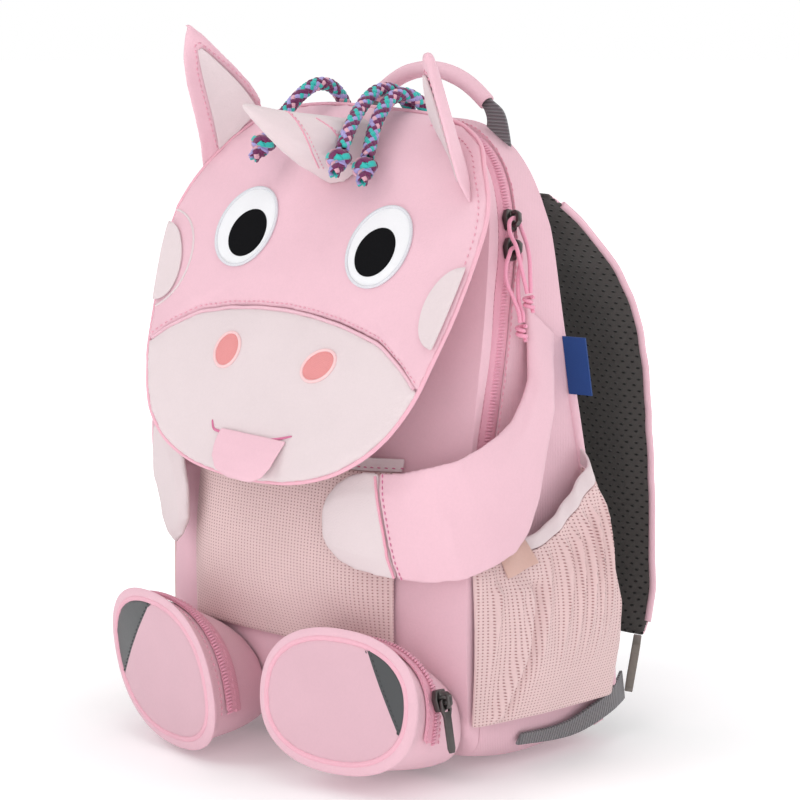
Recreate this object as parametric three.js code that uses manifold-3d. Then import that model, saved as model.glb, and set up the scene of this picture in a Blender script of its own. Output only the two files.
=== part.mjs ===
// A child's backpack in the shape of a horned pony, standing on its base.
// Millimetres, +Z up, the front towards -Y. The origin is on the floor under the main compartment.
// Tables hold shares of the named sizes: x of the half width, y of the depth, z of the height.

import * as THREE from 'three';
import { mergeVertices } from 'three/addons/utils/BufferGeometryUtils.js';
import Module from 'manifold-3d';

const wasm = await Module();
wasm.setup();

// Body
const bodyHeight = 300;
const bodyHalfWidth = 97;
const bodyDepth = 100;
const bodyWall = 2.4;
const seamGap = 0.4;
const zipHalfWidth = 6;
const zipTape = 1.4;
const zipCoilRise = 1.2;
const zipInset = 1.2;
const backEdge = 6;
const backPadding = 5;
const backInsetLow = 1.5;
const backInsetHigh = 7;

// Head flap
const headHalfWidth = 99;
const headRoll = 0.035;
const headPadding = 3.4;
const headEdge = 1.1;
const patchThickness = 0.9;
const patchLift = 1.2;
const eyeHalfWidth = 18;
const eyeHalfHeight = 17.6;
const eyeSpacing = 43.5;
const cheekHalfWidth = 15.5;
const cheekHalfHeight = 18;
const cheekInset = 1;
const cheekLift = 3.05;
const tongueThickness = 2.6;
const tongueEdge = 1;
const hornRadius = 15.5;
const hornLength = 70;
const hornLift = 0.9;
const earThickness = 5;
const earEdge = 1.4;
const earLiningLeft = 0.28;
const earLiningRight = 0.93;
const liningLift = 0.6;

// Cords
const maneDiameter = 6.4;
const maneKnotRadius = 5.6;
const pullDiameter = 2;
const pullKnotRadius = 3.6;
const knotGap = 0.3;

// Pockets
const meshWall = 1.2;
const pocketSeam = 1;
const pocketBelly = 9;
const sideBelly = 12;
const sideFullness = 1.5;
const sideEdgeLift = 1.6;
const sideRearInset = 1;
const hemWall = 1;
const hemHeight = 6;
const gatherDepth = 1.3;
const gatherCount = 6;

// Arms, straps and handle
const armThickness = 8;
const armEdge = 1.6;
const strapThickness = 9;
const strapEdge = 2.5;
const webThickness = 1.5;
const gripRadius = 4.6;
const gripWall = 1.6;
const handleLift = 1.7;
const buckleWidth = 28;
const buckleHeight = 24;
const buckleThickness = 4;
const labelHeight = 27;
const labelWidth = 12;
const labelThickness = 0.8;

// Feet
const footWidth = 82;
const footHeight = 69;
const footWall = 2.2;
const solePuff = 1.5;
const soleGap = 1.6;
const footZipLift = 1;
const pipingRadius = 2.6;

// Zip sliders and the metal pulls of the feet
const sliderWidth = 8.4;
const sliderLength = 10;
const sliderBase = 3;
const bridgeWidth = 2.6;
const bridgeHeight = 5;
const bridgeWall = 2;
const pullLength = 24;
const pullWidth = 6.8;
const pullThickness = 1.6;

const pink = 0xf0b2cb;
const palePink = 0xeed9df;
const meshPink = 0xe3bcc3;
const white = 0xf6f4f6;
const grey = 0x6a6664;
const webGrey = 0x77767a;
const metal = 0x4a4444;
const taupe = 0x8a8078;
const blue = 0x1f3c86;
const plum = 0x7a2f6a;

const group = new THREE.Group();
const V = (x, y, z) => new THREE.Vector3(x, y, z);
const lerp = THREE.MathUtils.lerp;

// Adds a closed mesh to the group, with its faces turned outwards.
function add(name, geometry, color, roughness = 0.9, metalness = 0) {
  const material = new THREE.MeshStandardMaterial({ color, roughness, metalness });
  const part = new THREE.Mesh(geometry, material);
  part.name = name;
  group.add(part);
  return part;
}

// Builds a geometry from points and triangles, and turns it right way out.
function closed(points, faces) {
  let volume = 0;
  for (const [a, b, c] of faces) {
    volume += points[a].dot(points[b].clone().cross(points[c]));
  }
  const geometry = new THREE.BufferGeometry();
  geometry.setFromPoints(points);
  geometry.setIndex(faces.flatMap(([a, b, c]) => (volume > 0 ? [a, b, c] : [a, c, b])));
  return geometry;
}

// A wall between two grids of points. A wrapped grid closes on itself along its rows.
function wall(outer, inner, wrap = false) {
  const rows = outer.length;
  const columns = outer[0].length;
  const points = [...outer.flat(), ...inner.flat()];
  const shift = rows * columns;
  const at = (i, j, side) => side * shift + i * columns + (j % columns);
  const faces = [];
  const quad = (a, b, c, d) => faces.push([a, b, c], [a, c, d]);
  const last = wrap ? columns : columns - 1;
  for (let i = 0; i < rows - 1; i += 1) {
    for (let j = 0; j < last; j += 1) {
      quad(at(i, j, 0), at(i, j + 1, 0), at(i + 1, j + 1, 0), at(i + 1, j, 0));
      quad(at(i, j, 1), at(i + 1, j, 1), at(i + 1, j + 1, 1), at(i, j + 1, 1));
    }
    if (!wrap) {
      quad(at(i, 0, 0), at(i + 1, 0, 0), at(i + 1, 0, 1), at(i, 0, 1));
      quad(at(i, last, 0), at(i, last, 1), at(i + 1, last, 1), at(i + 1, last, 0));
    }
  }
  for (let j = 0; j < last; j += 1) {
    quad(at(0, j, 0), at(0, j, 1), at(0, j + 1, 1), at(0, j + 1, 0));
    quad(at(rows - 1, j, 0), at(rows - 1, j + 1, 0), at(rows - 1, j + 1, 1), at(rows - 1, j, 1));
  }
  return closed(points, faces);
}

// Normals of a grid, from its neighbours.
function gridNormals(grid, wrap = false) {
  const columns = grid[0].length;
  return grid.map((row, i) => row.map((_, j) => {
    const up = grid[Math.min(i + 1, grid.length - 1)][j];
    const down = grid[Math.max(i - 1, 0)][j];
    const next = wrap ? row[(j + 1) % columns] : row[Math.min(j + 1, columns - 1)];
    const before = wrap ? row[(j + columns - 1) % columns] : row[Math.max(j - 1, 0)];
    return up.clone().sub(down).cross(next.clone().sub(before)).normalize();
  }));
}

const offsetGrid = (grid, normals, distance) => grid.map((row, i) =>
  row.map((p, j) => p.clone().addScaledVector(normals[i][j], distance(i, j))));

// A padded sheet: the seat grid is its inner side, and it swells outwards in its middle.
function quiltSides(seat, thickness, edge, outward) {
  const normals = gridNormals(seat);
  const middle = normals[Math.floor(seat.length / 2)][Math.floor(seat[0].length / 2)];
  const sign = middle.dot(outward) > 0 ? 1 : -1;
  const rows = seat.length - 1;
  const columns = seat[0].length - 1;
  const swell = (i, j) => {
    const u = 1 - Math.abs((2 * i) / rows - 1) ** 8;
    const v = 1 - Math.abs((2 * j) / columns - 1) ** 4;
    return edge + (thickness - edge) * Math.min(u, v);
  };
  const lift = (i, j) => sign * (thickness - swell(i, j)) * 0.5;
  const inner = offsetGrid(seat, normals, lift);
  const outer = offsetGrid(seat, normals, (i, j) => lift(i, j) + sign * swell(i, j));
  return [outer, inner];
}
const quilt = (...settings) => wall(...quiltSides(...settings));

// A disc with a front and a back, on rings that shrink towards a centre.
function disc(outline, centre, rings, front, back) {
  const points = [];
  const count = outline.length;
  const side = (place) => {
    const start = points.length;
    for (const ring of rings) {
      for (const [u, v] of outline) {
        points.push(place(centre[0] + (u - centre[0]) * ring, centre[1] + (v - centre[1]) * ring, ring));
      }
    }
    points.push(place(centre[0], centre[1], 0));
    return start;
  };
  const starts = [side(front), side(back)];
  const faces = [];
  const quad = (a, b, c, d, flip) => {
    faces.push(flip ? [a, c, b] : [a, b, c]);
    faces.push(flip ? [a, d, c] : [a, c, d]);
  };
  starts.forEach((start, s) => {
    const flip = s === 1;
    for (let k = 0; k < rings.length - 1; k += 1) {
      for (let j = 0; j < count; j += 1) {
        const next = (j + 1) % count;
        const a = start + k * count;
        const b = a + count;
        quad(a + j, a + next, b + next, b + j, flip);
      }
    }
    const rim = start + (rings.length - 1) * count;
    const middle = start + rings.length * count;
    for (let j = 0; j < count; j += 1) {
      const next = (j + 1) % count;
      faces.push(flip ? [rim + j, middle, rim + next] : [rim + j, rim + next, middle]);
    }
  });
  for (let j = 0; j < count; j += 1) {
    const next = (j + 1) % count;
    quad(starts[0] + j, starts[1] + j, starts[1] + next, starts[0] + next, false);
  }
  return closed(points, faces);
}

// Rings joined into a closed body, with a point or a flat fan at each end.
function loft(rings) {
  const count = rings[0].length;
  const points = rings.flat();
  const faces = [];
  for (let i = 0; i < rings.length - 1; i += 1) {
    for (let j = 0; j < count; j += 1) {
      const a = i * count + j;
      const b = i * count + ((j + 1) % count);
      faces.push([a, b, b + count], [a, b + count, a + count]);
    }
  }
  const last = (rings.length - 1) * count;
  for (const [start, flip] of [[0, true], [last, false]]) {
    const middle = points.length;
    const sum = V(0, 0, 0);
    for (let j = 0; j < count; j += 1) sum.add(points[start + j]);
    points.push(sum.divideScalar(count));
    for (let j = 0; j < count; j += 1) {
      const next = start + ((j + 1) % count);
      faces.push(flip ? [middle, next, start + j] : [middle, start + j, next]);
    }
  }
  return closed(points, faces);
}

// Joins or cuts closed geometries.
function toManifold(geometry) {
  const plain = geometry.clone();
  for (const key of Object.keys(plain.attributes)) {
    if (key !== 'position') plain.deleteAttribute(key);
  }
  const merged = mergeVertices(plain, 1e-4);
  return new wasm.Manifold(new wasm.Mesh({
    numProp: 3,
    vertProperties: new Float32Array(merged.attributes.position.array),
    triVerts: new Uint32Array(merged.index.array),
  }));
}

function fromManifold(solid) {
  const result = solid.getMesh();
  const geometry = new THREE.BufferGeometry();
  geometry.setAttribute('position', new THREE.BufferAttribute(new Float32Array(result.vertProperties), 3));
  geometry.setIndex(new THREE.BufferAttribute(new Uint32Array(result.triVerts), 1));
  return geometry;
}

const join = (...geometries) => fromManifold(geometries.map(toManifold).reduce((a, b) => a.add(b)));

// What is left of a geometry outside another, without small crumbs.
function trim(geometry, tool) {
  const pieces = toManifold(geometry).subtract(toManifold(tool)).decompose();
  return fromManifold(pieces.reduce((a, b) => (a.volume() > b.volume() ? a : b)));
}

// A round cord along its route.
function cordAlong(route, diameter, sides, steps) {
  const section = new THREE.Shape();
  for (let k = 0; k < sides; k += 1) {
    const angle = (k / sides) * Math.PI * 2;
    const x = (Math.cos(angle) * diameter) / 2;
    const y = (Math.sin(angle) * diameter) / 2;
    if (k === 0) section.moveTo(x, y);
    else section.lineTo(x, y);
  }
  section.closePath();
  const path = new THREE.CatmullRomCurve3(route.map(([x, y, z]) => V(x, y, z)), false, 'centripetal');
  return new THREE.ExtrudeGeometry(section, { steps, bevelEnabled: false, extrudePath: path });
}

const place = (x, y, z) => V(x * bodyHalfWidth, y * bodyDepth, z * bodyHeight);

// The body's sections, from the floor up: how wide it is, and where its front seam, zip and back seam lie.
// The belly is how far the face swells in front of its seam, and the rise lifts the base's rounded ends.
const sections = [
  // height, half width, front seam, zip, back seam, belly, rise
  [0, 0.79, -0.55, -0.48, 0.34, 0, 0.05],
  [0.017, 0.9, -0.565, -0.49, 0.37, 0.04, 0.042],
  [0.043, 0.97, -0.59, -0.51, 0.4, 0.07, 0.028],
  [0.08, 1, -0.61, -0.53, 0.415, 0.09, 0.01],
  [0.203, 1.01, -0.635, -0.555, 0.36, 0.12, 0],
  [0.337, 1.003, -0.63, -0.55, 0.27, 0.125, 0],
  [0.463, 0.98, -0.59, -0.505, 0.195, 0.12, 0],
  [0.492, 0.971, -0.57, -0.48, 0.183, 0.115, 0],
  [0.58, 0.936, -0.5, -0.385, 0.16, 0.1, 0],
  [0.67, 0.89, -0.405, -0.285, 0.156, 0.08, 0],
  [0.74, 0.85, -0.335, -0.215, 0.178, 0.07, 0],
  [0.787, 0.82, -0.29, -0.16, 0.197, 0.06, 0],
  [0.825, 0.79, -0.25, -0.12, 0.2, 0.05, 0],
  [0.87, 0.74, -0.19, -0.075, 0.2, 0.045, 0],
  [0.908, 0.68, -0.16, -0.04, 0.2, 0.04, 0],
  [0.938, 0.61, -0.14, -0.01, 0.2, 0.03, 0],
  [0.962, 0.53, -0.125, 0.01, 0.2, 0.02, 0],
  [0.98, 0.44, -0.115, 0.025, 0.2, 0.015, 0],
  [0.993, 0.34, -0.105, 0.035, 0.2, 0.01, 0],
  [1, 0.22, -0.1, 0.04, 0.2, 0, 0],
];
const [HEIGHT, HALF, FRONT, ZIP, BACK, BELLY, RISE] = [0, 1, 2, 3, 4, 5, 6];
const zipFirst = 7;
const seamRise = 0.45;
const backRise = 0.6;

// A column of the sections, between its rows, at a height share.
function sectionAt(column, share) {
  const top = sections.length - 1;
  const found = sections.findIndex((row) => row[HEIGHT] >= share);
  const next = found < 0 ? top : Math.max(1, found);
  const [low, high] = [sections[next - 1], sections[next]];
  const t = THREE.MathUtils.clamp((share - low[HEIGHT]) / (high[HEIGHT] - low[HEIGHT]), 0, 1);
  return lerp(low[column], high[column], t);
}
const backAt = (z) => sectionAt(BACK, z / bodyHeight) * bodyDepth;
const sideAt = (z) => sectionAt(HALF, z / bodyHeight) * bodyHalfWidth;
const bellyAt = (share) => 1 - Math.min(1, Math.abs(share)) ** 3;

// The body's face at a place across it and a height.
function faceAt(x, z) {
  const share = z / bodyHeight;
  const swell = sectionAt(BELLY, share) * bellyAt(x / sideAt(z));
  return (sectionAt(FRONT, share) - swell) * bodyDepth;
}

// Half the width of the slot for the zip, which closes to a seam below the zip's end.
const slotAt = (row) => (row >= zipFirst ? zipHalfWidth + seamGap : seamGap / 2);

// A closed ring round the body: up the right side and down the left. The inset moves it inwards.
function bodyRing(depth, inset = 0, rise = 0) {
  const right = sections.map((row, k) => {
    const below = sections[Math.max(k - 1, 0)];
    const above = sections[Math.min(k + 1, sections.length - 1)];
    const dx = (above[HALF] - below[HALF]) * bodyHalfWidth;
    const dz = (above[HEIGHT] - below[HEIGHT]) * bodyHeight;
    const length = Math.hypot(dx, dz);
    const bottom = k === 0;
    const nx = bottom ? 0.5 : dz / length;
    const nz = bottom ? -1 : -dx / length;
    const z = (row[HEIGHT] + row[RISE] * rise) * bodyHeight - nz * inset;
    return V(row[HALF] * bodyHalfWidth - nx * inset, depth(row, k, z), z);
  });
  right[right.length - 1].z = bodyHeight - inset;
  const left = right.map((p) => V(-p.x, p.y, p.z)).reverse();
  return [...right, ...left];
}

// Points across the face at each section, between the two sides of a ring that the face closes.
const faceColumns = 8;
function faceRows(ring) {
  const count = ring.length;
  return sections.slice(1, -1).map((row, i) => {
    const [right, left] = [ring[i + 1], ring[count - 2 - i]];
    return Array.from({ length: faceColumns - 1 }, (_, j) => {
      const share = 1 - (2 * (j + 1)) / faceColumns;
      const point = left.clone().lerp(right, (share + 1) / 2);
      point.y -= row[BELLY] * bellyAt(share) * bodyDepth;
      return point;
    });
  });
}

// Triangles of the face: its ring starts at one index and its inner points at another.
function faceTriangles(count, ringStart, innerStart, flip) {
  const rows = count / 2;
  const inner = faceColumns - 1;
  const row = (k) => {
    const ends = [ringStart + k, ringStart + count - 1 - k];
    if (k === 0 || k === rows - 1) return ends;
    const start = innerStart + (k - 1) * inner;
    return [ends[0], ...Array.from({ length: inner }, (_, j) => start + j), ends[1]];
  };
  const faces = [];
  const push = (a, b, c) => faces.push(flip ? [a, c, b] : [a, b, c]);
  for (let k = 0; k < rows - 1; k += 1) {
    const [low, high] = [row(k), row(k + 1)];
    let [i, j] = [0, 0];
    while (i < low.length - 1 || j < high.length - 1) {
      const lowShare = (i + 1) / (low.length - 1);
      const highShare = (j + 1) / (high.length - 1);
      const stepLow = j === high.length - 1 || (i < low.length - 1 && lowShare <= highShare);
      if (stepLow) {
        push(low[i], low[i + 1], high[j]);
        i += 1;
      } else {
        push(low[i], high[j + 1], high[j]);
        j += 1;
      }
    }
  }
  return faces;
}

// The front half of the body: a tray with its face in front and its rim at the zip.
function frontShell() {
  const face = (row) => row[FRONT] * bodyDepth;
  const rim = (row, k) => row[ZIP] * bodyDepth - slotAt(k);
  const rings = [
    bodyRing(face, 0, 1),
    bodyRing(rim, 0, seamRise),
    bodyRing(rim, bodyWall, seamRise),
    bodyRing((row) => face(row) + bodyWall, bodyWall, 1),
  ];
  const count = rings[0].length;
  const faces = [];
  for (let i = 0; i < 3; i += 1) {
    for (let j = 0; j < count; j += 1) {
      const a = i * count + j;
      const b = i * count + ((j + 1) % count);
      faces.push([a, a + count, b + count], [a, b + count, b]);
    }
  }
  const outer = faceRows(rings[0]).flat();
  const inner = faceRows(rings[3]).flat();
  faces.push(...faceTriangles(count, 0, 4 * count, true));
  faces.push(...faceTriangles(count, 3 * count, 4 * count + outer.length, false));
  return closed([...rings.flat(), ...outer, ...inner], faces);
}
add('front_shell', frontShell(), pink);

// The rear half of the body's side, from the zip to the back seam.
function rearGusset() {
  const front = (row, k) => row[ZIP] * bodyDepth + slotAt(k);
  const rear = (row, k, z) => backAt(z);
  const between = (share) => (row, k, z) => lerp(front(row, k), rear(row, k, z), share);
  const rings = [[front, seamRise], [between(0.3), 0], [between(0.75), 0], [rear, backRise]];
  const outer = rings.map(([depth, rise]) => bodyRing(depth, 0, rise));
  const inner = rings.map(([depth, rise]) => bodyRing(depth, bodyWall, rise));
  return wall(outer, inner, true);
}
add('rear_gusset', rearGusset(), pink);

// The zip round the top of the body: a tape on each side of a raised coil.
function mainZip() {
  const half = zipHalfWidth;
  const strips = [
    // distance from the coil's middle, lift from the tape
    [-half, 0],
    [-half * 0.4, zipCoilRise],
    [half * 0.4, zipCoilRise],
    [half, 0],
  ];
  const line = ([offset, lift], inward) => {
    const ring = bodyRing((row) => row[ZIP] * bodyDepth + offset, zipInset + inward - lift);
    return ring.slice(zipFirst, ring.length - zipFirst);
  };
  return wall(strips.map((s) => line(s, 0)), strips.map((s) => line([s[0], 0], zipTape)));
}
add('main_zip', mainZip(), pink);

// The padded back panel, drawn in from the body's edge towards the top.
function backPanel() {
  const shares = [1, 0.94, 0.6];
  const outline = bodyRing(() => 0, 0, backRise).map((p) => {
    const drawn = THREE.MathUtils.smoothstep(p.z / bodyHeight, 0.55, 0.8);
    const inset = lerp(backInsetLow, backInsetHigh, drawn);
    const shrink = 1 - inset / bodyHalfWidth;
    return [p.x * shrink, bodyHeight / 2 + (p.z - bodyHeight / 2) * (1 - (inset * 2) / bodyHeight)];
  });
  const centre = [0, bodyHeight * 0.5];
  const seat = (x, z) => V(x, backAt(z) + seamGap, z);
  const rise = (ring) => backEdge + backPadding * (1 - ring ** 4);
  const rear = (x, z, ring) => V(x, backAt(z) + seamGap + rise(ring), z);
  return disc(outline, centre, shares, seat, rear);
}
add('back_panel', backPanel(), grey);

// The head flap hangs from the top of the body and leans forward to its chin.
const headProfile = [
  // height, depth
  [0.463, -1.1],
  [0.5, -1.08],
  [0.537, -1.045],
  [0.587, -0.97],
  [0.637, -0.9],
  [0.71, -0.79],
  [0.757, -0.72],
  [0.823, -0.615],
  [0.88, -0.51],
  [0.9, -0.465],
  [0.947, -0.38],
  [0.977, -0.305],
  [0.997, -0.245],
  [1.01, -0.19],
  [1.017, -0.14],
];
const headCurve = new THREE.SplineCurve(headProfile.map(([z, y]) =>
  new THREE.Vector2(z * bodyHeight, y * bodyDepth)));
const headSamples = headCurve.getPoints(140);

function headDepth(z) {
  const top = headSamples.length - 1;
  const next = headSamples.findIndex((p) => p.x >= z);
  if (next === 0) return headSamples[0].y;
  if (next < 0) return headSamples[top].y;
  const [low, high] = [headSamples[next - 1], headSamples[next]];
  return lerp(low.y, high.y, (z - low.x) / (high.x - low.x));
}

// A point in front of the flap's middle layer. The whole head is rolled a little to its left.
const headPivot = bodyHeight * 0.73;
function onHead(x, z, lift = 0) {
  const slope = (headDepth(z + 1) - headDepth(z - 1)) / 2;
  const length = Math.hypot(1, slope);
  const level = z + (slope / length) * lift;
  const y = headDepth(z) - lift / length;
  return V(x + headRoll * (level - headPivot), y, level - headRoll * x);
}

// The head's outline, from the chin up. It hangs a little fuller on its right.
const headOutline = [
  // height, left half width, right half width
  [0.4635, 0, 0],
  [0.465, 0.14, 0.14],
  [0.471, 0.29, 0.3],
  [0.482, 0.42, 0.45],
  [0.502, 0.55, 0.61],
  [0.534, 0.665, 0.76],
  [0.567, 0.745, 0.85],
  [0.6, 0.8, 0.905],
  [0.633, 0.845, 0.94],
  [0.68, 0.885, 0.965],
  [0.733, 0.935, 0.99],
  [0.787, 0.98, 1],
  [0.833, 0.99, 1],
  [0.873, 0.965, 0.98],
  [0.91, 0.92, 0.925],
  [0.95, 0.83, 0.83],
  [0.982, 0.73, 0.73],
  [1.003, 0.57, 0.57],
  [1.012, 0.4, 0.4],
  [1.015, 0.2, 0.2],
  [1.016, 0, 0],
];
const muzzleRow = 8;
const muzzleSeam = [
  // share of the half width at the seam's end, height
  [1, 0.633],
  [0.87, 0.662],
  [0.67, 0.69],
  [0.43, 0.705],
  [0.21, 0.712],
  [0, 0.7145],
];

const headPoint = (half, height) => [half * headHalfWidth, height * bodyHeight];
const rightOf = ([z, , x]) => headPoint(x, z);
const leftOf = ([z, x]) => headPoint(-x, z);

// The seam between the forehead and the muzzle, from the right to the left, moved by half the gap.
function seamLine(shift) {
  const [, left, right] = headOutline[muzzleRow];
  const half = (reach) => muzzleSeam.map(([x, z]) => headPoint(x * reach, z));
  const points = [...half(right), ...half(-left).slice(0, -1).reverse()];
  return points.map(([x, z]) => [x, z + shift]);
}

function headPiece(outline, centre, grown = 0) {
  const rings = [1, 0.93, 0.65, 0.3];
  const swell = (ring) => headEdge + (headPadding - headEdge) * (1 - ring ** 8) + grown;
  const front = (x, z, ring) => onHead(x, z, swell(ring));
  const back = (x, z, ring) => onHead(x, z, -swell(ring));
  return disc(outline, centre, rings, front, back);
}

function forehead(grown = 0) {
  const rows = headOutline.slice(muzzleRow + 1);
  const right = rows.map(rightOf);
  const left = rows.slice(0, -1).map(leftOf).reverse();
  const seam = seamLine(seamGap / 2).reverse();
  const centre = [0, bodyHeight * 0.85];
  const outline = [...right, ...left, ...seam].map(([x, z]) => {
    const reach = Math.hypot(x - centre[0], z - centre[1]);
    return [x + ((x - centre[0]) / reach) * grown, z + ((z - centre[1]) / reach) * grown];
  });
  return headPiece(outline, centre, grown);
}
add('forehead', forehead(), pink);

function muzzle() {
  const rows = headOutline.slice(0, muzzleRow);
  const right = rows.map(rightOf);
  const left = rows.slice(1).map(leftOf).reverse();
  const seam = seamLine(-seamGap / 2);
  return headPiece([...right, ...seam, ...left], [0, bodyHeight * 0.59]);
}
add('muzzle', muzzle(), palePink);

// Patches sewn on the head: they lie on its padding.
function ellipse(centre, halfWidth, halfHeight, tilt, count) {
  const outline = [];
  for (let k = 0; k < count; k += 1) {
    const angle = (k / count) * Math.PI * 2;
    const u = Math.cos(angle) * halfWidth;
    const v = Math.sin(angle) * halfHeight;
    outline.push([
      centre[0] + u * Math.cos(tilt) - v * Math.sin(tilt),
      centre[1] + u * Math.sin(tilt) + v * Math.cos(tilt),
    ]);
  }
  return outline;
}

function headPatch(outline, centre, lift = headPadding + seamGap) {
  const front = (x, z) => onHead(x, z, lift + patchThickness);
  const back = (x, z) => onHead(x, z, lift);
  return disc(outline, centre, [1, 0.5], front, back);
}

const eyeHeight = bodyHeight * 0.819;
const eyeTilts = { left: 0.2, right: 0.02 };
for (const [side, sign] of [['left', -1], ['right', 1]]) {
  const centre = [sign * eyeSpacing, eyeHeight];
  const outline = ellipse(centre, eyeHalfWidth, eyeHalfHeight, eyeTilts[side], 20);
  add(`eye_${side}`, headPatch(outline, centre), white);
}

// The cheeks are half discs cut off by the edge of the head.
const cheekHeight = bodyHeight * 0.752;
function headEdgeAt(z, column) {
  const next = headOutline.findIndex((row) => row[0] * bodyHeight >= z);
  const [low, high] = [headOutline[next - 1], headOutline[next]];
  const t = (z / bodyHeight - low[0]) / (high[0] - low[0]);
  return lerp(low[column], high[column], t) * headHalfWidth;
}
for (const [side, sign, column] of [['left', -1, 1], ['right', 1, 2]]) {
  const outline = [];
  const count = 10;
  const corner = (angle, reach) => {
    const z = cheekHeight + Math.sin(angle) * cheekHalfHeight;
    return [sign * (headEdgeAt(z, column) - cheekInset + Math.cos(angle) * reach), z];
  };
  for (let k = 0; k <= count; k += 1) {
    outline.push(corner(Math.PI / 2 + (k / count) * Math.PI, cheekHalfWidth));
  }
  for (const share of [-0.25, 0, 0.25]) outline.push(corner(Math.PI * share, 0));
  const middle = corner(Math.PI, cheekHalfWidth * 0.5);
  add(`cheek_${side}`, headPatch(outline, middle, cheekLift), palePink);
}

// The tongue hangs out of the mouth over the chin.
function tongue() {
  const rows = [
    // height, left edge, right edge as shares of the head's half width, forward lift
    [0.53, -0.13, 0.3, 0],
    [0.51, -0.14, 0.28, 1.2],
    [0.49, -0.13, 0.26, 2.6],
    [0.473, -0.09, 0.22, 3.4],
    [0.464, 0, 0.15, 3.4],
  ];
  const count = 6;
  const base = headPadding + seamGap - (tongueThickness - tongueEdge) / 2;
  const seat = rows.map(([z, left, right, lift]) => {
    const row = [];
    for (let j = 0; j <= count; j += 1) {
      row.push(onHead(lerp(left, right, j / count) * headHalfWidth, z * bodyHeight, base + lift));
    }
    return row;
  });
  return quilt(seat, tongueThickness, tongueEdge, V(0, -1, 0));
}
add('tongue', tongue(), pink);

// The horn stands on the forehead and points forward.
function horn() {
  const foot = [-2, bodyHeight * 0.945];
  const base = onHead(foot[0], foot[1], headPadding + hornLift);
  const direction = V(-0.02, -0.93, 0.365).normalize();
  const tip = base.clone().addScaledVector(direction, hornLength);
  const across = V(1, 0, 0);
  const up = across.clone().cross(direction).normalize().negate();
  const count = 12;
  const stages = [
    // share of the length, share of the radius
    [0.12, 0.98],
    [0.3, 0.86],
    [0.5, 0.66],
    [0.7, 0.43],
    [0.86, 0.25],
    [0.96, 0.13],
    [1, 0.05],
  ];
  const onPadding = (share) => ellipse(foot, hornRadius * share, hornRadius * 0.95 * share, 0, count)
    .map(([x, z]) => onHead(x, z, headPadding + hornLift));
  const seat = onPadding(1);
  const rings = stages.map(([t, r]) => seat.map((_, k) => {
    const angle = (k / count) * Math.PI * 2;
    const sag = Math.sin(t * Math.PI) * hornLength * 0.03;
    return base.clone().lerp(tip, t)
      .addScaledVector(across, Math.cos(angle) * hornRadius * r)
      .addScaledVector(up, Math.sin(angle) * hornRadius * r - sag);
  }));
  return loft([onPadding(0.5), seat, ...rings]);
}
add('horn', horn(), palePink);

// Ears: leaves sewn behind the head's edge, each with a pale lining.
const earLeaf = [
  // share of the length, left edge and right edge as shares of the base
  [-0.14, -0.45, 0.3],
  [0, -0.5, 0.5],
  [0.12, -0.38, 0.66],
  [0.3, -0.18, 0.74],
  [0.5, 0.02, 0.76],
  [0.7, 0.2, 0.77],
  [0.86, 0.38, 0.78],
  [0.96, 0.58, 0.77],
  [1, 0.68, 0.75],
];
const earEnds = {
  // ends of the base, and the tip
  left: [[-1.018, -0.4, 0.881], [-0.764, -0.245, 0.996], [-0.858, -0.651, 1.151]],
  right: [[0.936, -0.42, 0.858], [0.518, -0.193, 0.978], [0.807, -0.66, 1.126]],
};
const earCup = 5;

function leafAt(t) {
  const next = Math.max(1, earLeaf.findIndex((row) => row[0] >= t));
  const [low, high] = [earLeaf[next - 1], earLeaf[next]];
  const share = (t - low[0]) / (high[0] - low[0]);
  return [lerp(low[1], high[1], share), lerp(low[2], high[2], share)];
}

// A grid on the ear: each row is a height share with its left and right edges.
function earGrid(side, rows, count) {
  const [low, high, tip] = earEnds[side].map(([x, y, z]) => place(x, y, z));
  const base = high.clone().sub(low);
  const middle = low.clone().lerp(high, 0.5);
  const [, left, right] = earLeaf[earLeaf.length - 1];
  const axis = tip.sub(middle).addScaledVector(base, -(left + right) / 2);
  const forward = base.clone().cross(axis).normalize();
  if (forward.y > 0) forward.negate();
  return rows.map(([t, from, to]) => {
    const [leafLeft, leafRight] = leafAt(t);
    return Array.from({ length: count + 1 }, (_, j) => {
      const w = lerp(from, to, j / count);
      const across = (2 * (w - leafLeft)) / (leafRight - leafLeft) - 1;
      const cup = across ** 2 * earCup * THREE.MathUtils.smoothstep(t, 0, 0.3) * (1 - t * 0.5);
      return middle.clone().addScaledVector(base, w).addScaledVector(axis, t).addScaledVector(forward, cup);
    });
  });
}

// The lining lies inside the leaf, closer to its right edge, and runs to a point.
const liningRows = [0.1, 0.2, 0.32, 0.45, 0.6, 0.72, 0.79].map((t, k, all) => {
  const [left, right] = leafAt(t);
  const pinch = (k / (all.length - 1)) ** 3 * 0.42;
  return [t, lerp(left, right, earLiningLeft + pinch), lerp(left, right, earLiningRight - pinch * 0.3)];
});
for (const side of ['left', 'right']) {
  const facing = V(side === 'left' ? 0.5 : -0.5, -1, 0);
  add(`ear_${side}`, trim(quilt(earGrid(side, earLeaf, 6), earThickness, earEdge, facing), forehead(seamGap)), pink);
  const lining = earGrid(side, liningRows, 4);
  const normals = gridNormals(lining);
  const sign = normals[3][2].dot(facing) > 0 ? 1 : -1;
  const lift = sign * (earThickness + liningLift);
  const back = offsetGrid(lining, normals, () => lift);
  const front = offsetGrid(lining, normals, () => lift + sign * patchThickness);
  add(`ear_lining_${side}`, trim(wall(front, back), forehead(seamGap)), palePink);
}

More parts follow.
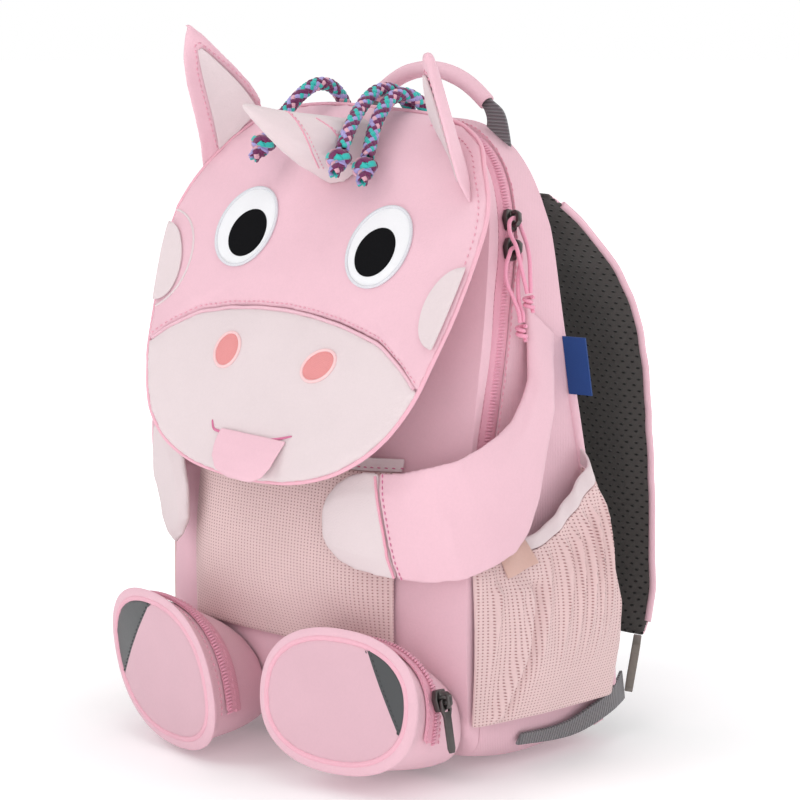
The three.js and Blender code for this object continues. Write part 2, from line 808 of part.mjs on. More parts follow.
// Mane cords: from behind the head's top edge, over it and down the forehead to a knot.
const maneRoutes = {
  left: [
    [-34, -6, 298.8], [-34, -6.4, 305], [-33, -12.5, 311.5], [-32.8, -19, 315.2], [-33.2, -26.5, 315.8],
    [-34.4, -33, 313], [-36, -39, 308], [-37.2, -46, 301], [-38.5, -53, 293],
  ],
  middle: [
    [8, -6, 301.2], [8.2, -6.8, 307], [8.4, -14, 312.7], [7.9, -21, 315], [8, -29, 314],
    [9.6, -37.6, 310], [13, -47.4, 304.2], [16.5, -56.6, 296.7], [18.9, -62.8, 289.7],
  ],
  right: [
    [19, -6, 301.2], [19, -6.6, 306], [18, -13, 311], [17, -19.5, 313], [17, -27, 311.5],
    [17.8, -34, 307], [19.6, -41, 300.5], [22.5, -47.5, 292], [25.5, -53, 285.5],
  ],
};
// A knot at the end of a cord, with the cord's tail below it.
function knot(end, forward, radius, count) {
  const stages = [
    // share of the knot's length, share of its radius
    [0, 0.62],
    [0.25, 0.95],
    [0.5, 1],
    [0.75, 0.8],
    [1, 0.5],
    [1.35, 0.4],
  ];
  const across = V(0, 1, 0).cross(forward).normalize();
  const other = forward.clone().cross(across);
  return loft(stages.map(([t, r]) => {
    const centre = end.clone().addScaledVector(forward, knotGap + t * radius * 2);
    return Array.from({ length: count }, (_, k) => {
      const angle = (k / count) * Math.PI * 2;
      return centre.clone().addScaledVector(across, Math.cos(angle) * radius * r)
        .addScaledVector(other, Math.sin(angle) * radius * r);
    });
  }));
}
for (const [side, route] of Object.entries(maneRoutes)) {
  add(`mane_cord_${side}`, cordAlong(route, maneDiameter, 8, 10), plum);
  const [before, end] = route.slice(-2).map(([x, y, z]) => V(x, y, z));
  const forward = end.clone().sub(before).normalize();
  add(`mane_knot_${side}`, knot(end, forward, maneKnotRadius, 8), plum);
}

// The mesh pocket on the front, with a hem along its mouth.
const frontPocket = { left: -0.745, right: 0.635, bottom: 0.19, top: 0.5 };
function frontPocketGrid(bottom, top, rows, columns, clear) {
  const grid = [];
  for (let i = 0; i <= rows; i += 1) {
    const z = lerp(bottom, top, i / rows) * bodyHeight;
    const v = (z / bodyHeight - frontPocket.bottom) / (frontPocket.top - frontPocket.bottom);
    const row = [];
    for (let j = 0; j <= columns; j += 1) {
      const u = j / columns;
      const x = lerp(frontPocket.left, frontPocket.right, u) * bodyHalfWidth;
      const belly = pocketBelly * Math.min(1, 2.6 * Math.sin(u * Math.PI)) * Math.min(1, 3.2 * v + 0.05);
      row.push(V(x, faceAt(x, z) - clear - belly, z));
    }
    grid.push(row);
  }
  return grid;
}
const forwardBy = (grid, distance) => grid.map((row) => row.map((p) => V(p.x, p.y - distance, p.z)));
{
  const seam = 1 - hemHeight / (bodyHeight * (frontPocket.top - frontPocket.bottom));
  const split = lerp(frontPocket.bottom, frontPocket.top, seam);
  const gap = seamGap / bodyHeight;
  const net = frontPocketGrid(frontPocket.bottom, split - gap / 2, 6, 10, pocketSeam);
  add('front_pocket', wall(forwardBy(net, meshWall), net), meshPink);
  const hem = frontPocketGrid(split + gap / 2, frontPocket.top, 1, 10, pocketSeam);
  add('front_pocket_hem', wall(forwardBy(hem, meshWall + hemWall * 0.5), hem), palePink);
}

// Mesh pockets on the sides: gathered under a slanting hem, and full in the middle.
const sideMouth = [
  // depth, height
  [-0.61, 0.365],
  [-0.4, 0.372],
  [-0.2, 0.39],
  [-0.05, 0.425],
  [0.08, 0.465],
  [0.19, 0.495],
];
const sideBottom = 0.095;
const sideColumns = 18;
function mouthAt(u) {
  const x = u * (sideMouth.length - 1);
  const k = Math.min(sideMouth.length - 2, Math.floor(x));
  return [lerp(sideMouth[k][0], sideMouth[k + 1][0], x - k), lerp(sideMouth[k][1], sideMouth[k + 1][1], x - k)];
}

// A place on the side pocket: u runs from its front edge to its rear one, v from its bottom to its mouth.
function onSidePocket(sign, u, v, clear) {
  const [mouthY, mouthZ] = mouthAt(u);
  const z = lerp(sideBottom, mouthZ, v) * bodyHeight;
  const rear = backAt(z) - sideRearInset;
  const y = lerp(lerp(-0.605 * bodyDepth, rear, u), mouthY * bodyDepth, v ** 1.5);
  const full = Math.sin(Math.PI * Math.min(1, v * 0.86 + 0.06)) ** 0.7;
  const along = Math.min(1, 2.2 * u + 0.12) * Math.min(1, 9 * (1 - u));
  const rib = gatherDepth * Math.cos(u * gatherCount * Math.PI * 2) * v * Math.min(1, 6 * u, 6 * (1 - u));
  const edge = sideEdgeLift * Math.min(u * 30, (1 - u) * 30, 1);
  const belly = edge + (sideBelly * (1 + 0.75 * u) * full + sideFullness) * along;
  const x = sideAt(z) + clear + Math.max(0, belly + rib);
  return V(sign * x, y, z);
}

function sidePocketGrid(sign, from, to, rows, clear) {
  return Array.from({ length: rows + 1 }, (_, i) =>
    Array.from({ length: sideColumns + 1 }, (__, j) =>
      onSidePocket(sign, j / sideColumns, lerp(from, to, i / rows), clear)));
}
const sideways = (grid, distance) => grid.map((row) => row.map((p) => V(p.x + distance, p.y, p.z)));
for (const [side, sign] of [['left', -1], ['right', 1]]) {
  const split = 0.93;
  const gap = 0.004;
  const net = sidePocketGrid(sign, 0, split - gap, 5, seamGap);
  add(`side_pocket_${side}`, wall(sideways(net, sign * meshWall), net), meshPink);
  const hem = sidePocketGrid(sign, split + gap, 1, 1, seamGap);
  add(`side_hem_${side}`, wall(sideways(hem, sign * (meshWall + hemWall * 0.5)), hem), palePink);
}

// Arms: padded bands from the back seam round to the front, each with a pale hand.
const armRight = [
  // x, y, z of the upper edge, then of the lower edge
  [0.837, -0.1, 0.723, 0.868, 0.08, 0.673],
  [0.908, -0.16, 0.66, 0.94, -0.01, 0.61],
  [0.969, -0.22, 0.617, 1.025, -0.1, 0.56],
  [1.01, -0.31, 0.593, 1.066, -0.2, 0.5],
  [1.05, -0.43, 0.565, 1.1, -0.29, 0.438],
  [1.075, -0.55, 0.55, 1.125, -0.385, 0.394],
  [1.075, -0.66, 0.537, 1.13, -0.48, 0.367],
  [1.045, -0.76, 0.523, 1.115, -0.6, 0.352],
  [0.959, -0.83, 0.512, 1.07, -0.73, 0.337],
  [0.845, -0.86, 0.5, 0.948, -0.82, 0.331],
  [0.701, -0.865, 0.493, 0.804, -0.85, 0.331],
];
const handRight = [
  [0.696, -0.865, 0.493, 0.799, -0.851, 0.331],
  [0.619, -0.87, 0.492, 0.68, -0.862, 0.333],
  [0.515, -0.87, 0.482, 0.546, -0.865, 0.336],
  [0.433, -0.868, 0.465, 0.443, -0.865, 0.345],
  [0.371, -0.866, 0.443, 0.371, -0.866, 0.362],
  [0.335, -0.864, 0.42, 0.335, -0.864, 0.383],
];
const armLeft = [
  [-0.837, -0.1, 0.723, -0.868, 0.08, 0.673],
  [-0.908, -0.16, 0.66, -0.94, 0, 0.615],
  [-0.969, -0.22, 0.617, -1.02, -0.08, 0.56],
  [-1.01, -0.32, 0.59, -1.045, -0.16, 0.5],
  [-1.03, -0.44, 0.573, -1.055, -0.28, 0.44],
  [-1.03, -0.56, 0.56, -1.055, -0.42, 0.41],
  [-0.98, -0.69, 0.543, -1.04, -0.56, 0.397],
  [-0.89, -0.785, 0.527, -0.99, -0.69, 0.39],
];
const handLeft = [
  [-0.884, -0.789, 0.526, -0.986, -0.694, 0.39],
  [-0.76, -0.82, 0.503, -0.965, -0.71, 0.38],
  [-0.64, -0.85, 0.463, -0.945, -0.72, 0.365],
  [-0.6, -0.86, 0.413, -0.91, -0.74, 0.343],
  [-0.61, -0.85, 0.363, -0.85, -0.76, 0.323],
  [-0.67, -0.835, 0.327, -0.77, -0.785, 0.313],
];
// An arm and its hand: one padded band, parted at the seam between them.
function limb(side, arm, hand, outward) {
  const columns = 5;
  const rows = [...arm, ...hand];
  const seat = rows.map(([x0, y0, z0, x1, y1, z1]) => {
    const [upper, lower] = [place(x0, y0, z0), place(x1, y1, z1)];
    return Array.from({ length: columns + 1 }, (_, j) => upper.clone().lerp(lower, j / columns));
  });
  const [outer, inner] = quiltSides(seat, armThickness, armEdge, outward);
  const seam = arm.length;
  add(`arm_${side}`, wall(outer.slice(0, seam), inner.slice(0, seam)), pink);
  add(`hand_${side}`, wall(outer.slice(seam), inner.slice(seam)), palePink);
}
limb('right', armRight, handRight, V(1, -0.6, 0));
limb('left', armLeft, handLeft, V(-1, -0.6, 0));

// A patch of hook-and-loop tape on the right side pocket.
function pocketPatch() {
  const corners = [
    // the pocket's u and v at the patch's corners, in turn
    [0.114, 0.985],
    [0.274, 1],
    [0.31, 0.866],
    [0.143, 0.837],
  ];
  const count = 3;
  const grid = [];
  for (let i = 0; i <= count; i += 1) {
    const row = [];
    for (let j = 0; j <= count; j += 1) {
      const at = (axis) => {
        const upper = lerp(corners[0][axis], corners[1][axis], j / count);
        const lower = lerp(corners[3][axis], corners[2][axis], j / count);
        return lerp(upper, lower, i / count);
      };
      row.push(onSidePocket(1, at(0), at(1), seamGap + meshWall + patchLift));
    }
    grid.push(row);
  }
  return wall(sideways(grid, patchThickness), grid);
}
add('pocket_patch', pocketPatch(), palePink);

// Feet: drums with a flat sole in front, a piped edge and a zip over the top.
const feet = {
  left: { face: [-0.567, -1.13, 0.132], splay: -0.2, pitch: 0, lean: -0.33, size: [1.05, 1], rear: [-0.62, 0.1] },
  right: { face: [0.608, -1.1, 0.145], splay: 0.16, pitch: 0.12, lean: 0, size: [1.03, 0.92], rear: [0.62, 0.1] },
};
const soleCount = 22;
const solePower = 2 / 2.35;

function solePoint(angle, halfWidth, halfHeight, lean) {
  const [c, s] = [Math.cos(angle), Math.sin(angle)];
  const v = Math.sign(s) * Math.abs(s) ** solePower * halfHeight;
  return [Math.sign(c) * Math.abs(c) ** solePower * halfWidth + lean * v, v];
}
const soleOutline = (halfWidth, halfHeight, lean) => Array.from({ length: soleCount }, (_, k) =>
  solePoint((k / soleCount) * Math.PI * 2, halfWidth, halfHeight, lean));

const soleHalves = ({ size }, swell) =>
  [(footWidth / 2) * size[0] + swell, (footHeight / 2) * size[1] + swell];

function footFrame({ face, splay, pitch }) {
  const centre = place(...face);
  const outward = V(Math.sin(splay) * Math.cos(pitch), -Math.cos(splay) * Math.cos(pitch), Math.sin(pitch));
  const across = V(Math.cos(splay), Math.sin(splay), 0);
  const up = across.clone().cross(outward).negate();
  return { centre, outward, across, up };
}
const onSole = ({ centre, outward, across, up }, u, v, w) => centre.clone()
  .addScaledVector(across, u).addScaledVector(up, v).addScaledVector(outward, w);

// A point of the foot's side, at an angle round it and a share of the way back to the body.
function onFoot(foot, frame, angle, t, swell) {
  const [u, v] = solePoint(angle, ...soleHalves(foot, swell), foot.lean);
  const [du, dv] = solePoint(angle, footWidth * 0.42 + swell, footHeight * 0.37 + swell, 0);
  const x = foot.rear[0] * bodyHalfWidth + du;
  const z = foot.rear[1] * bodyHeight + dv;
  return onSole(frame, u, v, 0).lerp(V(x, faceAt(x, z) - seamGap * 2, z), t);
}
const footRing = (foot, frame, t, swell) => Array.from({ length: soleCount }, (_, k) =>
  onFoot(foot, frame, (k / soleCount) * Math.PI * 2, t, swell));

const footStages = [
  // share of the way back, swell
  [0, -footWall * 0.4],
  [0.03, pipingRadius],
  [0.1, pipingRadius * 0.7],
  [0.16, 0],
  [0.5, 1.6],
  [0.8, 1.6],
  [1, 0],
];
const zipStrips = [
  // share of the way back, rise
  [0.24, 0],
  [0.31, zipCoilRise],
  [0.39, zipCoilRise],
  [0.46, 0],
];
function footSwell(t) {
  const next = footStages.findIndex((row) => row[0] >= t);
  const [low, high] = [footStages[next - 1], footStages[next]];
  return lerp(low[1], high[1], (t - low[0]) / (high[0] - low[0])) + footZipLift;
}
const footZipAngles = { from: -0.3, to: Math.PI + 0.3, steps: 12 };
const footFrames = {};
for (const [side, foot] of Object.entries(feet)) {
  const frame = footFrame(foot);
  footFrames[side] = frame;
  const outline = soleOutline(...soleHalves(foot, -footWall - soleGap), foot.lean);
  const puff = (ring) => solePuff * (1 - ring ** 4);
  add(`foot_sole_${side}`, disc(outline, [0, 0], [1, 0.6],
    (u, v, ring) => onSole(frame, u, v, puff(ring)),
    (u, v, ring) => onSole(frame, u, v, puff(ring) - footWall)), pink);
  const outer = footStages.map(([t, swell]) => footRing(foot, frame, t, swell));
  const inner = footStages.map(([t]) => footRing(foot, frame, t, -footWall));
  add(`foot_side_${side}`, wall(outer, inner, true), pink);
  const { from, to, steps } = footZipAngles;
  const arc = (t, swell) => Array.from({ length: steps + 1 }, (_, k) =>
    onFoot(foot, frame, lerp(from, to, k / steps), t, swell));
  add(`foot_zip_${side}`, wall(
    zipStrips.map(([t, rise]) => arc(t, footSwell(t) + zipTape * 0.5 + rise)),
    zipStrips.map(([t]) => arc(t, footSwell(t))),
  ), pink);
}

// A zip slider: a flat body with a bridge over it. Local x runs across the zip, y along it, z outwards.
function extrude(outline, depth, holes = []) {
  const trace = (path, points) => {
    points.forEach(([x, y], k) => (k === 0 ? path.moveTo(x, y) : path.lineTo(x, y)));
    path.closePath();
    return path;
  };
  const shape = trace(new THREE.Shape(), outline);
  shape.holes = holes.map((points) => trace(new THREE.Path(), points));
  return new THREE.ExtrudeGeometry(shape, { depth, bevelEnabled: false });
}

function slider() {
  const [w, l] = [sliderWidth / 2, sliderLength / 2];
  const body = extrude([[-w * 0.62, -l], [w * 0.62, -l], [w, l * 0.2], [w * 0.7, l], [-w * 0.7, l], [-w, l * 0.2]],
    sliderBase);
  const [end, top] = [l * 0.8, sliderBase + bridgeHeight];
  const hole = [end - bridgeWall, top - bridgeWall];
  const sunk = sliderBase * 0.5;
  const arch = extrude(
    [[-end, sunk], [end, sunk], [end, top - bridgeWall], [end - bridgeWall, top], [bridgeWall - end, top],
      [-end, top - bridgeWall]],
    bridgeWidth,
    [[[-hole[0], sliderBase], [-hole[0], hole[1]], [hole[0], hole[1]], [hole[0], sliderBase]]],
  );
  arch.translate(0, 0, -bridgeWidth / 2);
  const turn = new THREE.Matrix4().makeBasis(V(0, 1, 0), V(0, 0, 1), V(1, 0, 0));
  return join(body, arch.applyMatrix4(turn));
}

// The metal pull: an eye round the bridge and a flat tab, hanging along -y from the hinge.
const eyeInner = pullWidth * 0.56;
const eyeBar = 1.4;
function pull() {
  const [half, inner] = [pullWidth / 2, eyeInner / 2];
  const [top, hole] = [eyeBar / 2, sliderLength * 0.52];
  const tab = pullWidth * 0.32;
  const outline = [
    [-half * 0.8, top], [half * 0.8, top], [half, -top * 0.2], [half, -hole * 0.9], [tab, -hole - eyeBar - 1],
    [tab, -pullLength + 2], [tab * 0.6, -pullLength], [-tab * 0.6, -pullLength], [-tab, -pullLength + 2],
    [-tab, -hole - eyeBar - 1], [-half, -hole * 0.9], [-half, -top * 0.2],
  ];
  const opening = [[-inner, -top], [-inner, -hole], [inner, -hole], [inner, -top]];
  return extrude(outline, pullThickness, [opening]).translate(0, 0, -pullThickness / 2);
}

// A frame at a place: across the zip, along it and outwards.
function frameAt(origin, along, outward) {
  const y = along.clone().normalize();
  const x = y.clone().cross(outward).normalize();
  const z = x.clone().cross(y);
  return new THREE.Matrix4().makeBasis(x, y, z).setPosition(origin.clone().addScaledVector(z, seamGap));
}

const footSliderAngles = { left: Math.PI - 0.2, right: 0.2 };
for (const [side, foot] of Object.entries(feet)) {
  const frame = footFrames[side];
  const angle = footSliderAngles[side];
  const middle = 0.35;
  const at = (a, t) => onFoot(foot, frame, a, t, footSwell(t) + zipTape * 0.5 + zipCoilRise);
  const step = side === 'left' ? -0.1 : 0.1;
  const origin = at(angle, middle);
  const along = at(angle + step, middle).sub(at(angle - step, middle));
  const across = at(angle, middle + 0.05).sub(at(angle, middle - 0.05));
  const outward = across.cross(along);
  if (outward.dot(V(side === 'left' ? -1 : 1, 0, 0)) < 0) outward.negate();
  const seat = frameAt(origin, along, outward);
  add(`foot_slider_${side}`, slider().applyMatrix4(seat), metal, 0.4, 0.8);
  const hinge = V(0, 0, sliderBase + (bridgeHeight - bridgeWall) / 2);
  const hang = seat.clone().multiply(new THREE.Matrix4().makeTranslation(hinge));
  add(`foot_pull_${side}`, pull().applyMatrix4(hang), metal, 0.4, 0.8);
}

// The two sliders of the main zip, each with a cord and a knot.
const zipCurve = bodyRing((row) => row[ZIP] * bodyDepth, 0).slice(0, sections.length);
function zipPlace(z) {
  const next = zipCurve.findIndex((p) => p.z >= z);
  const [low, high] = [zipCurve[next - 1], zipCurve[next]];
  const origin = low.clone().lerp(high, (z - low.z) / (high.z - low.z));
  return { origin, along: high.clone().sub(low) };
}
const pullRoutes = [
  [
    [91.6, -15.6, 224.4], [90.2, -16, 230], [88.5, -17, 238], [86.8, -18, 246], [82, -16.6, 251.2],
    [79.1, -14.2, 255.1], [78.3, -12.25, 257.35], [78.2, -9.2, 257.9], [78.9, -6.85, 255.75],
    [79.9, -6.6, 252.9], [84.2, -7.8, 246.5], [87.5, -9.5, 240], [89.6, -11.3, 233],
    [91.2, -12.8, 227.8], [91.6, -13.3, 224.4],
  ],
  [
    [92.4, -21.6, 211.6], [91.8, -21.7, 216], [88.8, -22, 222.5], [85.4, -23, 230], [84.2, -22, 237],
    [83.1, -18.6, 242.05], [82.5, -16.57, 244.3], [82.5, -13.5, 244.9], [82.96, -11.2, 242.5],
    [83.7, -11, 239.55], [85, -14, 234], [86.6, -16.4, 228], [89, -18.2, 220], [92, -19.1, 215.6],
    [92.4, -19.3, 211.6],
  ],
];
const sliderHeights = [0.853, 0.811];
sliderHeights.forEach((share, k) => {
  const { origin, along } = zipPlace(share * bodyHeight);
  const outward = V(along.z, 0, -along.x);
  const name = k + 1;
  add(`main_slider_${name}`, slider().applyMatrix4(frameAt(origin, along, outward)), metal, 0.4, 0.8);
  const route = pullRoutes[k];
  add(`pull_cord_${name}`, cordAlong(route, pullDiameter, 8, 20), pink);
  const [first, last] = [V(...route[0]), V(...route[route.length - 1])];
  add(`pull_knot_${name}`, knot(first.lerp(last, 0.5), V(0, 0, -1), pullKnotRadius, 6), pink);
});

// The grab handle: a webbing strap, narrowed inside a soft sleeve.
const handlePath = [
  // x, height, width of the webbing
  [0.48, 0.985, 16],
  [0.466, 1.002, 13],
  [0.445, 1.013, 10],
  [0.402, 1.027, 5],
  [0.309, 1.051, 5],
  [0.186, 1.07, 5],
  [0.031, 1.079, 5],
  [-0.124, 1.07, 5],
  [-0.247, 1.051, 5],
  [-0.34, 1.027, 5],
  [-0.383, 1.013, 10],
  [-0.404, 1.002, 13],
  [-0.418, 0.988, 16],
];
const handleDepth = 0.155;
const topAt = (x) => {
  const upper = zipCurve.slice(zipFirst).reverse();
  const next = upper.findIndex((p) => p.x >= Math.abs(x));
  const [high, low] = [upper[next - 1], upper[next]];
  return lerp(high.z, low.z, (Math.abs(x) - high.x) / (low.x - high.x));
};
const handlePoints = handlePath.map(([x, z]) => place(x, handleDepth, z));
const directionAt = (points, k) => points[Math.min(k + 1, points.length - 1)].clone()
  .sub(points[Math.max(k - 1, 0)]).normalize();

function handleWeb() {
  const rings = handlePoints.map((centre, k) => {
    const forward = directionAt(handlePoints, k);
    const side = V(-forward.z, 0, forward.x).multiplyScalar(handlePath[k][2] / 2);
    const seated = k === 0 || k === handlePoints.length - 1;
    const corner = (sign, lift) => {
      const point = centre.clone().addScaledVector(side, sign);
      if (seated) point.z = topAt(point.x) + handleLift;
      point.y += lift;
      return point;
    };
    const half = webThickness / 2;
    return [corner(-1, -half), corner(1, -half), corner(1, half), corner(-1, half)];
  });
  return loft(rings);
}
add('handle_web', handleWeb(), webGrey);

function handleGrip() {
  const count = 8;
  const route = handlePoints.slice(3, -3);
  const ring = (centre, k, radius) => {
    const forward = directionAt(route, k);
    const side = V(-forward.z, 0, forward.x);
    return Array.from({ length: count }, (_, j) => {
      const angle = (j / count) * Math.PI * 2;
      const point = centre.clone().addScaledVector(side, Math.cos(angle) * radius);
      point.y += Math.sin(angle) * radius;
      return point;
    });
  };
  return wall(route.map((p, k) => ring(p, k, gripRadius)), route.map((p, k) => ring(p, k, gripRadius - gripWall)), true);
}
add('handle_grip', handleGrip(), pink);

// Shoulder straps: padded bands from the top of the back down to a buckle.
const strapPath = [
  // x, depth, height and half width of the side towards the back
  [0.454, 0.28, 0.872, 21],
  [0.474, 0.41, 0.84, 23.5],
  [0.505, 0.5, 0.8, 25.5],
  [0.546, 0.6, 0.757, 26.5],
  [0.582, 0.675, 0.703, 27],
  [0.608, 0.72, 0.65, 27],
  [0.619, 0.755, 0.57, 27],
  [0.624, 0.78, 0.47, 27],
  [0.629, 0.795, 0.36, 27],
  [0.639, 0.8, 0.27, 26.5],
  [0.67, 0.79, 0.215, 24.5],
  [0.732, 0.745, 0.18, 20],
  [0.785, 0.7, 0.165, 16],
];
function strap(sign) {
  const columns = 4;
  const seat = strapPath.map(([x, y, z, half]) => Array.from({ length: columns + 1 }, (_, j) => {
    const point = place(sign * x, y, z);
    point.x += ((2 * j) / columns - 1) * half;
    return point;
  }));
  return quilt(seat, strapThickness, strapEdge, V(0, 1, 0));
}

// The webbing at the foot of each strap, along the base and up to the buckle.
const lowerWebPath = [
  // x, y, z of the upper edge, then of the lower edge
  [0.998, -0.25, 0.062, 0.982, -0.27, 0.044],
  [1, -0.03, 0.056, 0.975, -0.01, 0.033],
  [1.012, 0.12, 0.062, 0.98, 0.15, 0.031],
  [1.025, 0.24, 0.078, 0.99, 0.26, 0.038],
  [1.03, 0.36, 0.088, 1.005, 0.37, 0.05],
  [1.0, 0.46, 0.104, 1.0, 0.47, 0.06],
  [0.937, 0.558, 0.108, 0.942, 0.578, 0.06],
];
function lowerWeb(sign) {
  const seat = lowerWebPath.map(([x0, y0, z0, x1, y1, z1]) => {
    const [upper, lower] = [place(sign * x0, y0, z0), place(sign * x1, y1, z1)];
    return [upper, upper.clone().lerp(lower, 0.5), lower];
  });
  const normals = gridNormals(seat);
  const sense = normals[1][1].x * sign > 0 ? 1 : -1;
  return wall(offsetGrid(seat, normals, () => sense * webThickness), seat);
}

// A buckle with two slots for the webbing.
function buckle(sign) {
  const [w, h] = [buckleWidth / 2, buckleHeight / 2];
  const bar = buckleHeight * 0.16;
  const rim = buckleWidth * 0.12;
  const cut = buckleHeight * 0.14;
  const outline = [[-w, -h + cut], [-w + cut, -h], [w - cut, -h], [w, -h + cut], [w, h - cut], [w - cut, h],
    [-w + cut, h], [-w, h - cut]];
  const slot = (low, high) => [[-w + rim, low], [-w + rim, high], [w - rim, high], [w - rim, low]];
  const plate = extrude(outline, buckleThickness, [slot(-h + bar, -bar / 2), slot(bar / 2, h - bar)]);
  plate.translate(0, 0, -buckleThickness / 2);
  const across = V(-0.6 * sign, 0.8, 0);
  const up = V(0.1 * sign, 0.12, 0.98).normalize();
  const out = across.clone().cross(up).normalize();
  const axis = across.clone().normalize();
  const seat = new THREE.Matrix4().makeBasis(axis, out.clone().cross(axis), out);
  return plate.applyMatrix4(seat.setPosition(place(0.9 * sign, 0.71, 0.1085)));
}
for (const [side, sign] of [['left', -1], ['right', 1]]) {
  add(`strap_${side}`, strap(sign), pink);
  add(`lower_web_${side}`, lowerWeb(sign), webGrey);
  add(`buckle_${side}`, buckle(sign), taupe, 0.5);
}

// A woven label in the back seam.
function label() {
  const top = bodyHeight * 0.67;
  const bottom = top - labelHeight;
  const edge = (z) => V(sideAt(z) + seamGap * 2, backAt(top) - labelThickness, z);
  const out = V(0.975, 0.22, 0).multiplyScalar(labelWidth);
  const face = [[edge(top), edge(top).add(out)], [edge(bottom), edge(bottom).add(out)]];
  const rear = face.map((row) => row.map((p) => p.clone().add(V(0, labelThickness, 0))));
  return wall(face, rear);
}
add('label', label(), blue, 0.6);

export default group;
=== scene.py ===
"""A child's animal backpack: cloth, net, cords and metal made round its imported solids."""

import functools
import math

import bpy
import numpy as np
from mathutils import Matrix, Vector, bvhtree, noise


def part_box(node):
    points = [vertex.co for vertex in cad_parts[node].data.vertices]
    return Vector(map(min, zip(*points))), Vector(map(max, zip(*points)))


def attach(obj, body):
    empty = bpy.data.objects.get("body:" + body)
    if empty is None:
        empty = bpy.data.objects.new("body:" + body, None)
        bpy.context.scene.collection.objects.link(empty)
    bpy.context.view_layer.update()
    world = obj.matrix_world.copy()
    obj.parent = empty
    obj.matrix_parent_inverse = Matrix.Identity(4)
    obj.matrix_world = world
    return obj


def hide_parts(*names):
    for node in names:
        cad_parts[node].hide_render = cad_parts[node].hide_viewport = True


bl_info = {
    "name": "Animal backpack",
    "version": (1, 0, 0),
    "blender": (4, 5, 0),
    "location": "View3D > Sidebar > Backpack",
    "description": "Makes the cloth, cords and metal of a child's animal backpack",
    "category": "Object",
}

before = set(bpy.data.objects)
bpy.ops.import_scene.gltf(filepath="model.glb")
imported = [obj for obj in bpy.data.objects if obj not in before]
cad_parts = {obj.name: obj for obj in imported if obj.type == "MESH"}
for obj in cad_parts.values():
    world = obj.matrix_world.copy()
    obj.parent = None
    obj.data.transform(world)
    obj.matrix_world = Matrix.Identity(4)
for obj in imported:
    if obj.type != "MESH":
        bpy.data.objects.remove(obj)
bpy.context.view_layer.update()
MM = 0.001
TURN = 2 * math.pi
BAG = "bag"
SIDES = {"left": -1, "right": 1}  # the bag's own left lies towards -x
AHEAD = (0, 1, 0)  # the way from the camera's side into the bag
FRONT = -0.2  # a depth in front of the whole bag, from which things are laid on it

# Routes of the free cords, in millimetres, as in the solids.
MANE_ROUTES = {
    "left": [
        (-34, -6, 298.8), (-34, -6.4, 305), (-33, -12.5, 311.5), (-32.8, -19, 315.2),
        (-33.2, -26.5, 315.8), (-34.4, -33, 313), (-36, -39, 308), (-37.2, -46, 301), (-38.5, -53, 293),
    ],
    "middle": [
        (8, -6, 301.2), (8.2, -6.8, 307), (8.4, -14, 312.7), (7.9, -21, 315), (8, -29, 314),
        (9.6, -37.6, 310), (13, -47.4, 304.2), (16.5, -56.6, 296.7), (18.9, -62.8, 289.7),
    ],
    "right": [
        (19, -6, 301.2), (19, -6.6, 306), (18, -13, 311), (17, -19.5, 313), (17, -27, 311.5),
        (17.8, -34, 307), (19.6, -41, 300.5), (22.5, -47.5, 292), (25.5, -53, 285.5),
    ],
}
PULL_ROUTES = {
    "1": [
        (91.6, -15.6, 224.4), (90.2, -16, 230), (88.5, -17, 238), (86.8, -18, 246), (82, -16.6, 251.2),
        (79.1, -14.2, 255.1), (78.3, -12.25, 257.35), (78.2, -9.2, 257.9), (78.9, -6.85, 255.75),
        (79.9, -6.6, 252.9), (84.2, -7.8, 246.5), (87.5, -9.5, 240), (89.6, -11.3, 233),
        (91.2, -12.8, 227.8), (91.6, -13.3, 224.4),
    ],
    "2": [
        (92.4, -21.6, 211.6), (91.8, -21.7, 216), (88.8, -22, 222.5), (85.4, -23, 230), (84.2, -22, 237),
        (83.1, -18.6, 242.05), (82.5, -16.57, 244.3), (82.5, -13.5, 244.9), (82.96, -11.2, 242.5),
        (83.7, -11, 239.55), (85, -14, 234), (86.6, -16.4, 228), (89, -18.2, 220), (92, -19.1, 215.6),
        (92.4, -19.3, 211.6),
    ],
}
YARNS = {
    "plum": (0.145, 0.012, 0.085), "turquoise": (0.02, 0.46, 0.42), "lavender": (0.36, 0.31, 0.62),
    "blush": (0.72, 0.38, 0.47),
}
STRAND_YARNS = (0, 1, 2, 0, 1, 3, 0, 2)  # the yarns of a braid's strands, in turn

# Centre in x and z, half sizes and tilt of the small ovals of the face, in metres and radians.
PUPILS = {"left": (-0.0398, 0.2466), "right": (0.0438, 0.2438)}
PUPIL_SIZES, PUPIL_TILT = (0.0116, 0.0109), 0.2
NOSTRILS = {
    "left": ((-0.0277, 0.1947), (0.0071, 0.0073), 0.1),
    "right": ((0.0321, 0.1931), (0.0092, 0.0062), 0.36),
}
LIPS = [(-0.0228, 0.1636), (-0.0205, 0.1600), (-0.0159, 0.1590), (-0.008, 0.1574), (0.0069, 0.1575),
        (0.0193, 0.1594), (0.0295, 0.1620)]

# The straight edge of each sole's grey wedge, and the seams of the horn, in millimetres.
WEDGE_EDGES = {
    "right": [(75.3, -105.3, 73.1), (98.1, -106.5, 33.0)],
    "left": [(-62.1, -113.1, 73.9), (-88.3, -107.8, 29.8)],
}
WEDGE_SHIFT = {"left": 0.0, "right": 0.003}
HORN_SEAMS = [
    [(1.1, -82.2, 307.5), (6.7, -80.7, 303.6), (9.1, -76.9, 295.7), (8.2, -71.2, 286.9), (5.8, -64.9, 280.4)],
    [(6.0, -66.9, 303.7), (9.3, -63.0, 300.4), (12.6, -59.2, 294.8), (13.8, -56.1, 287.8), (13.3, -53.2, 281.5)],
]
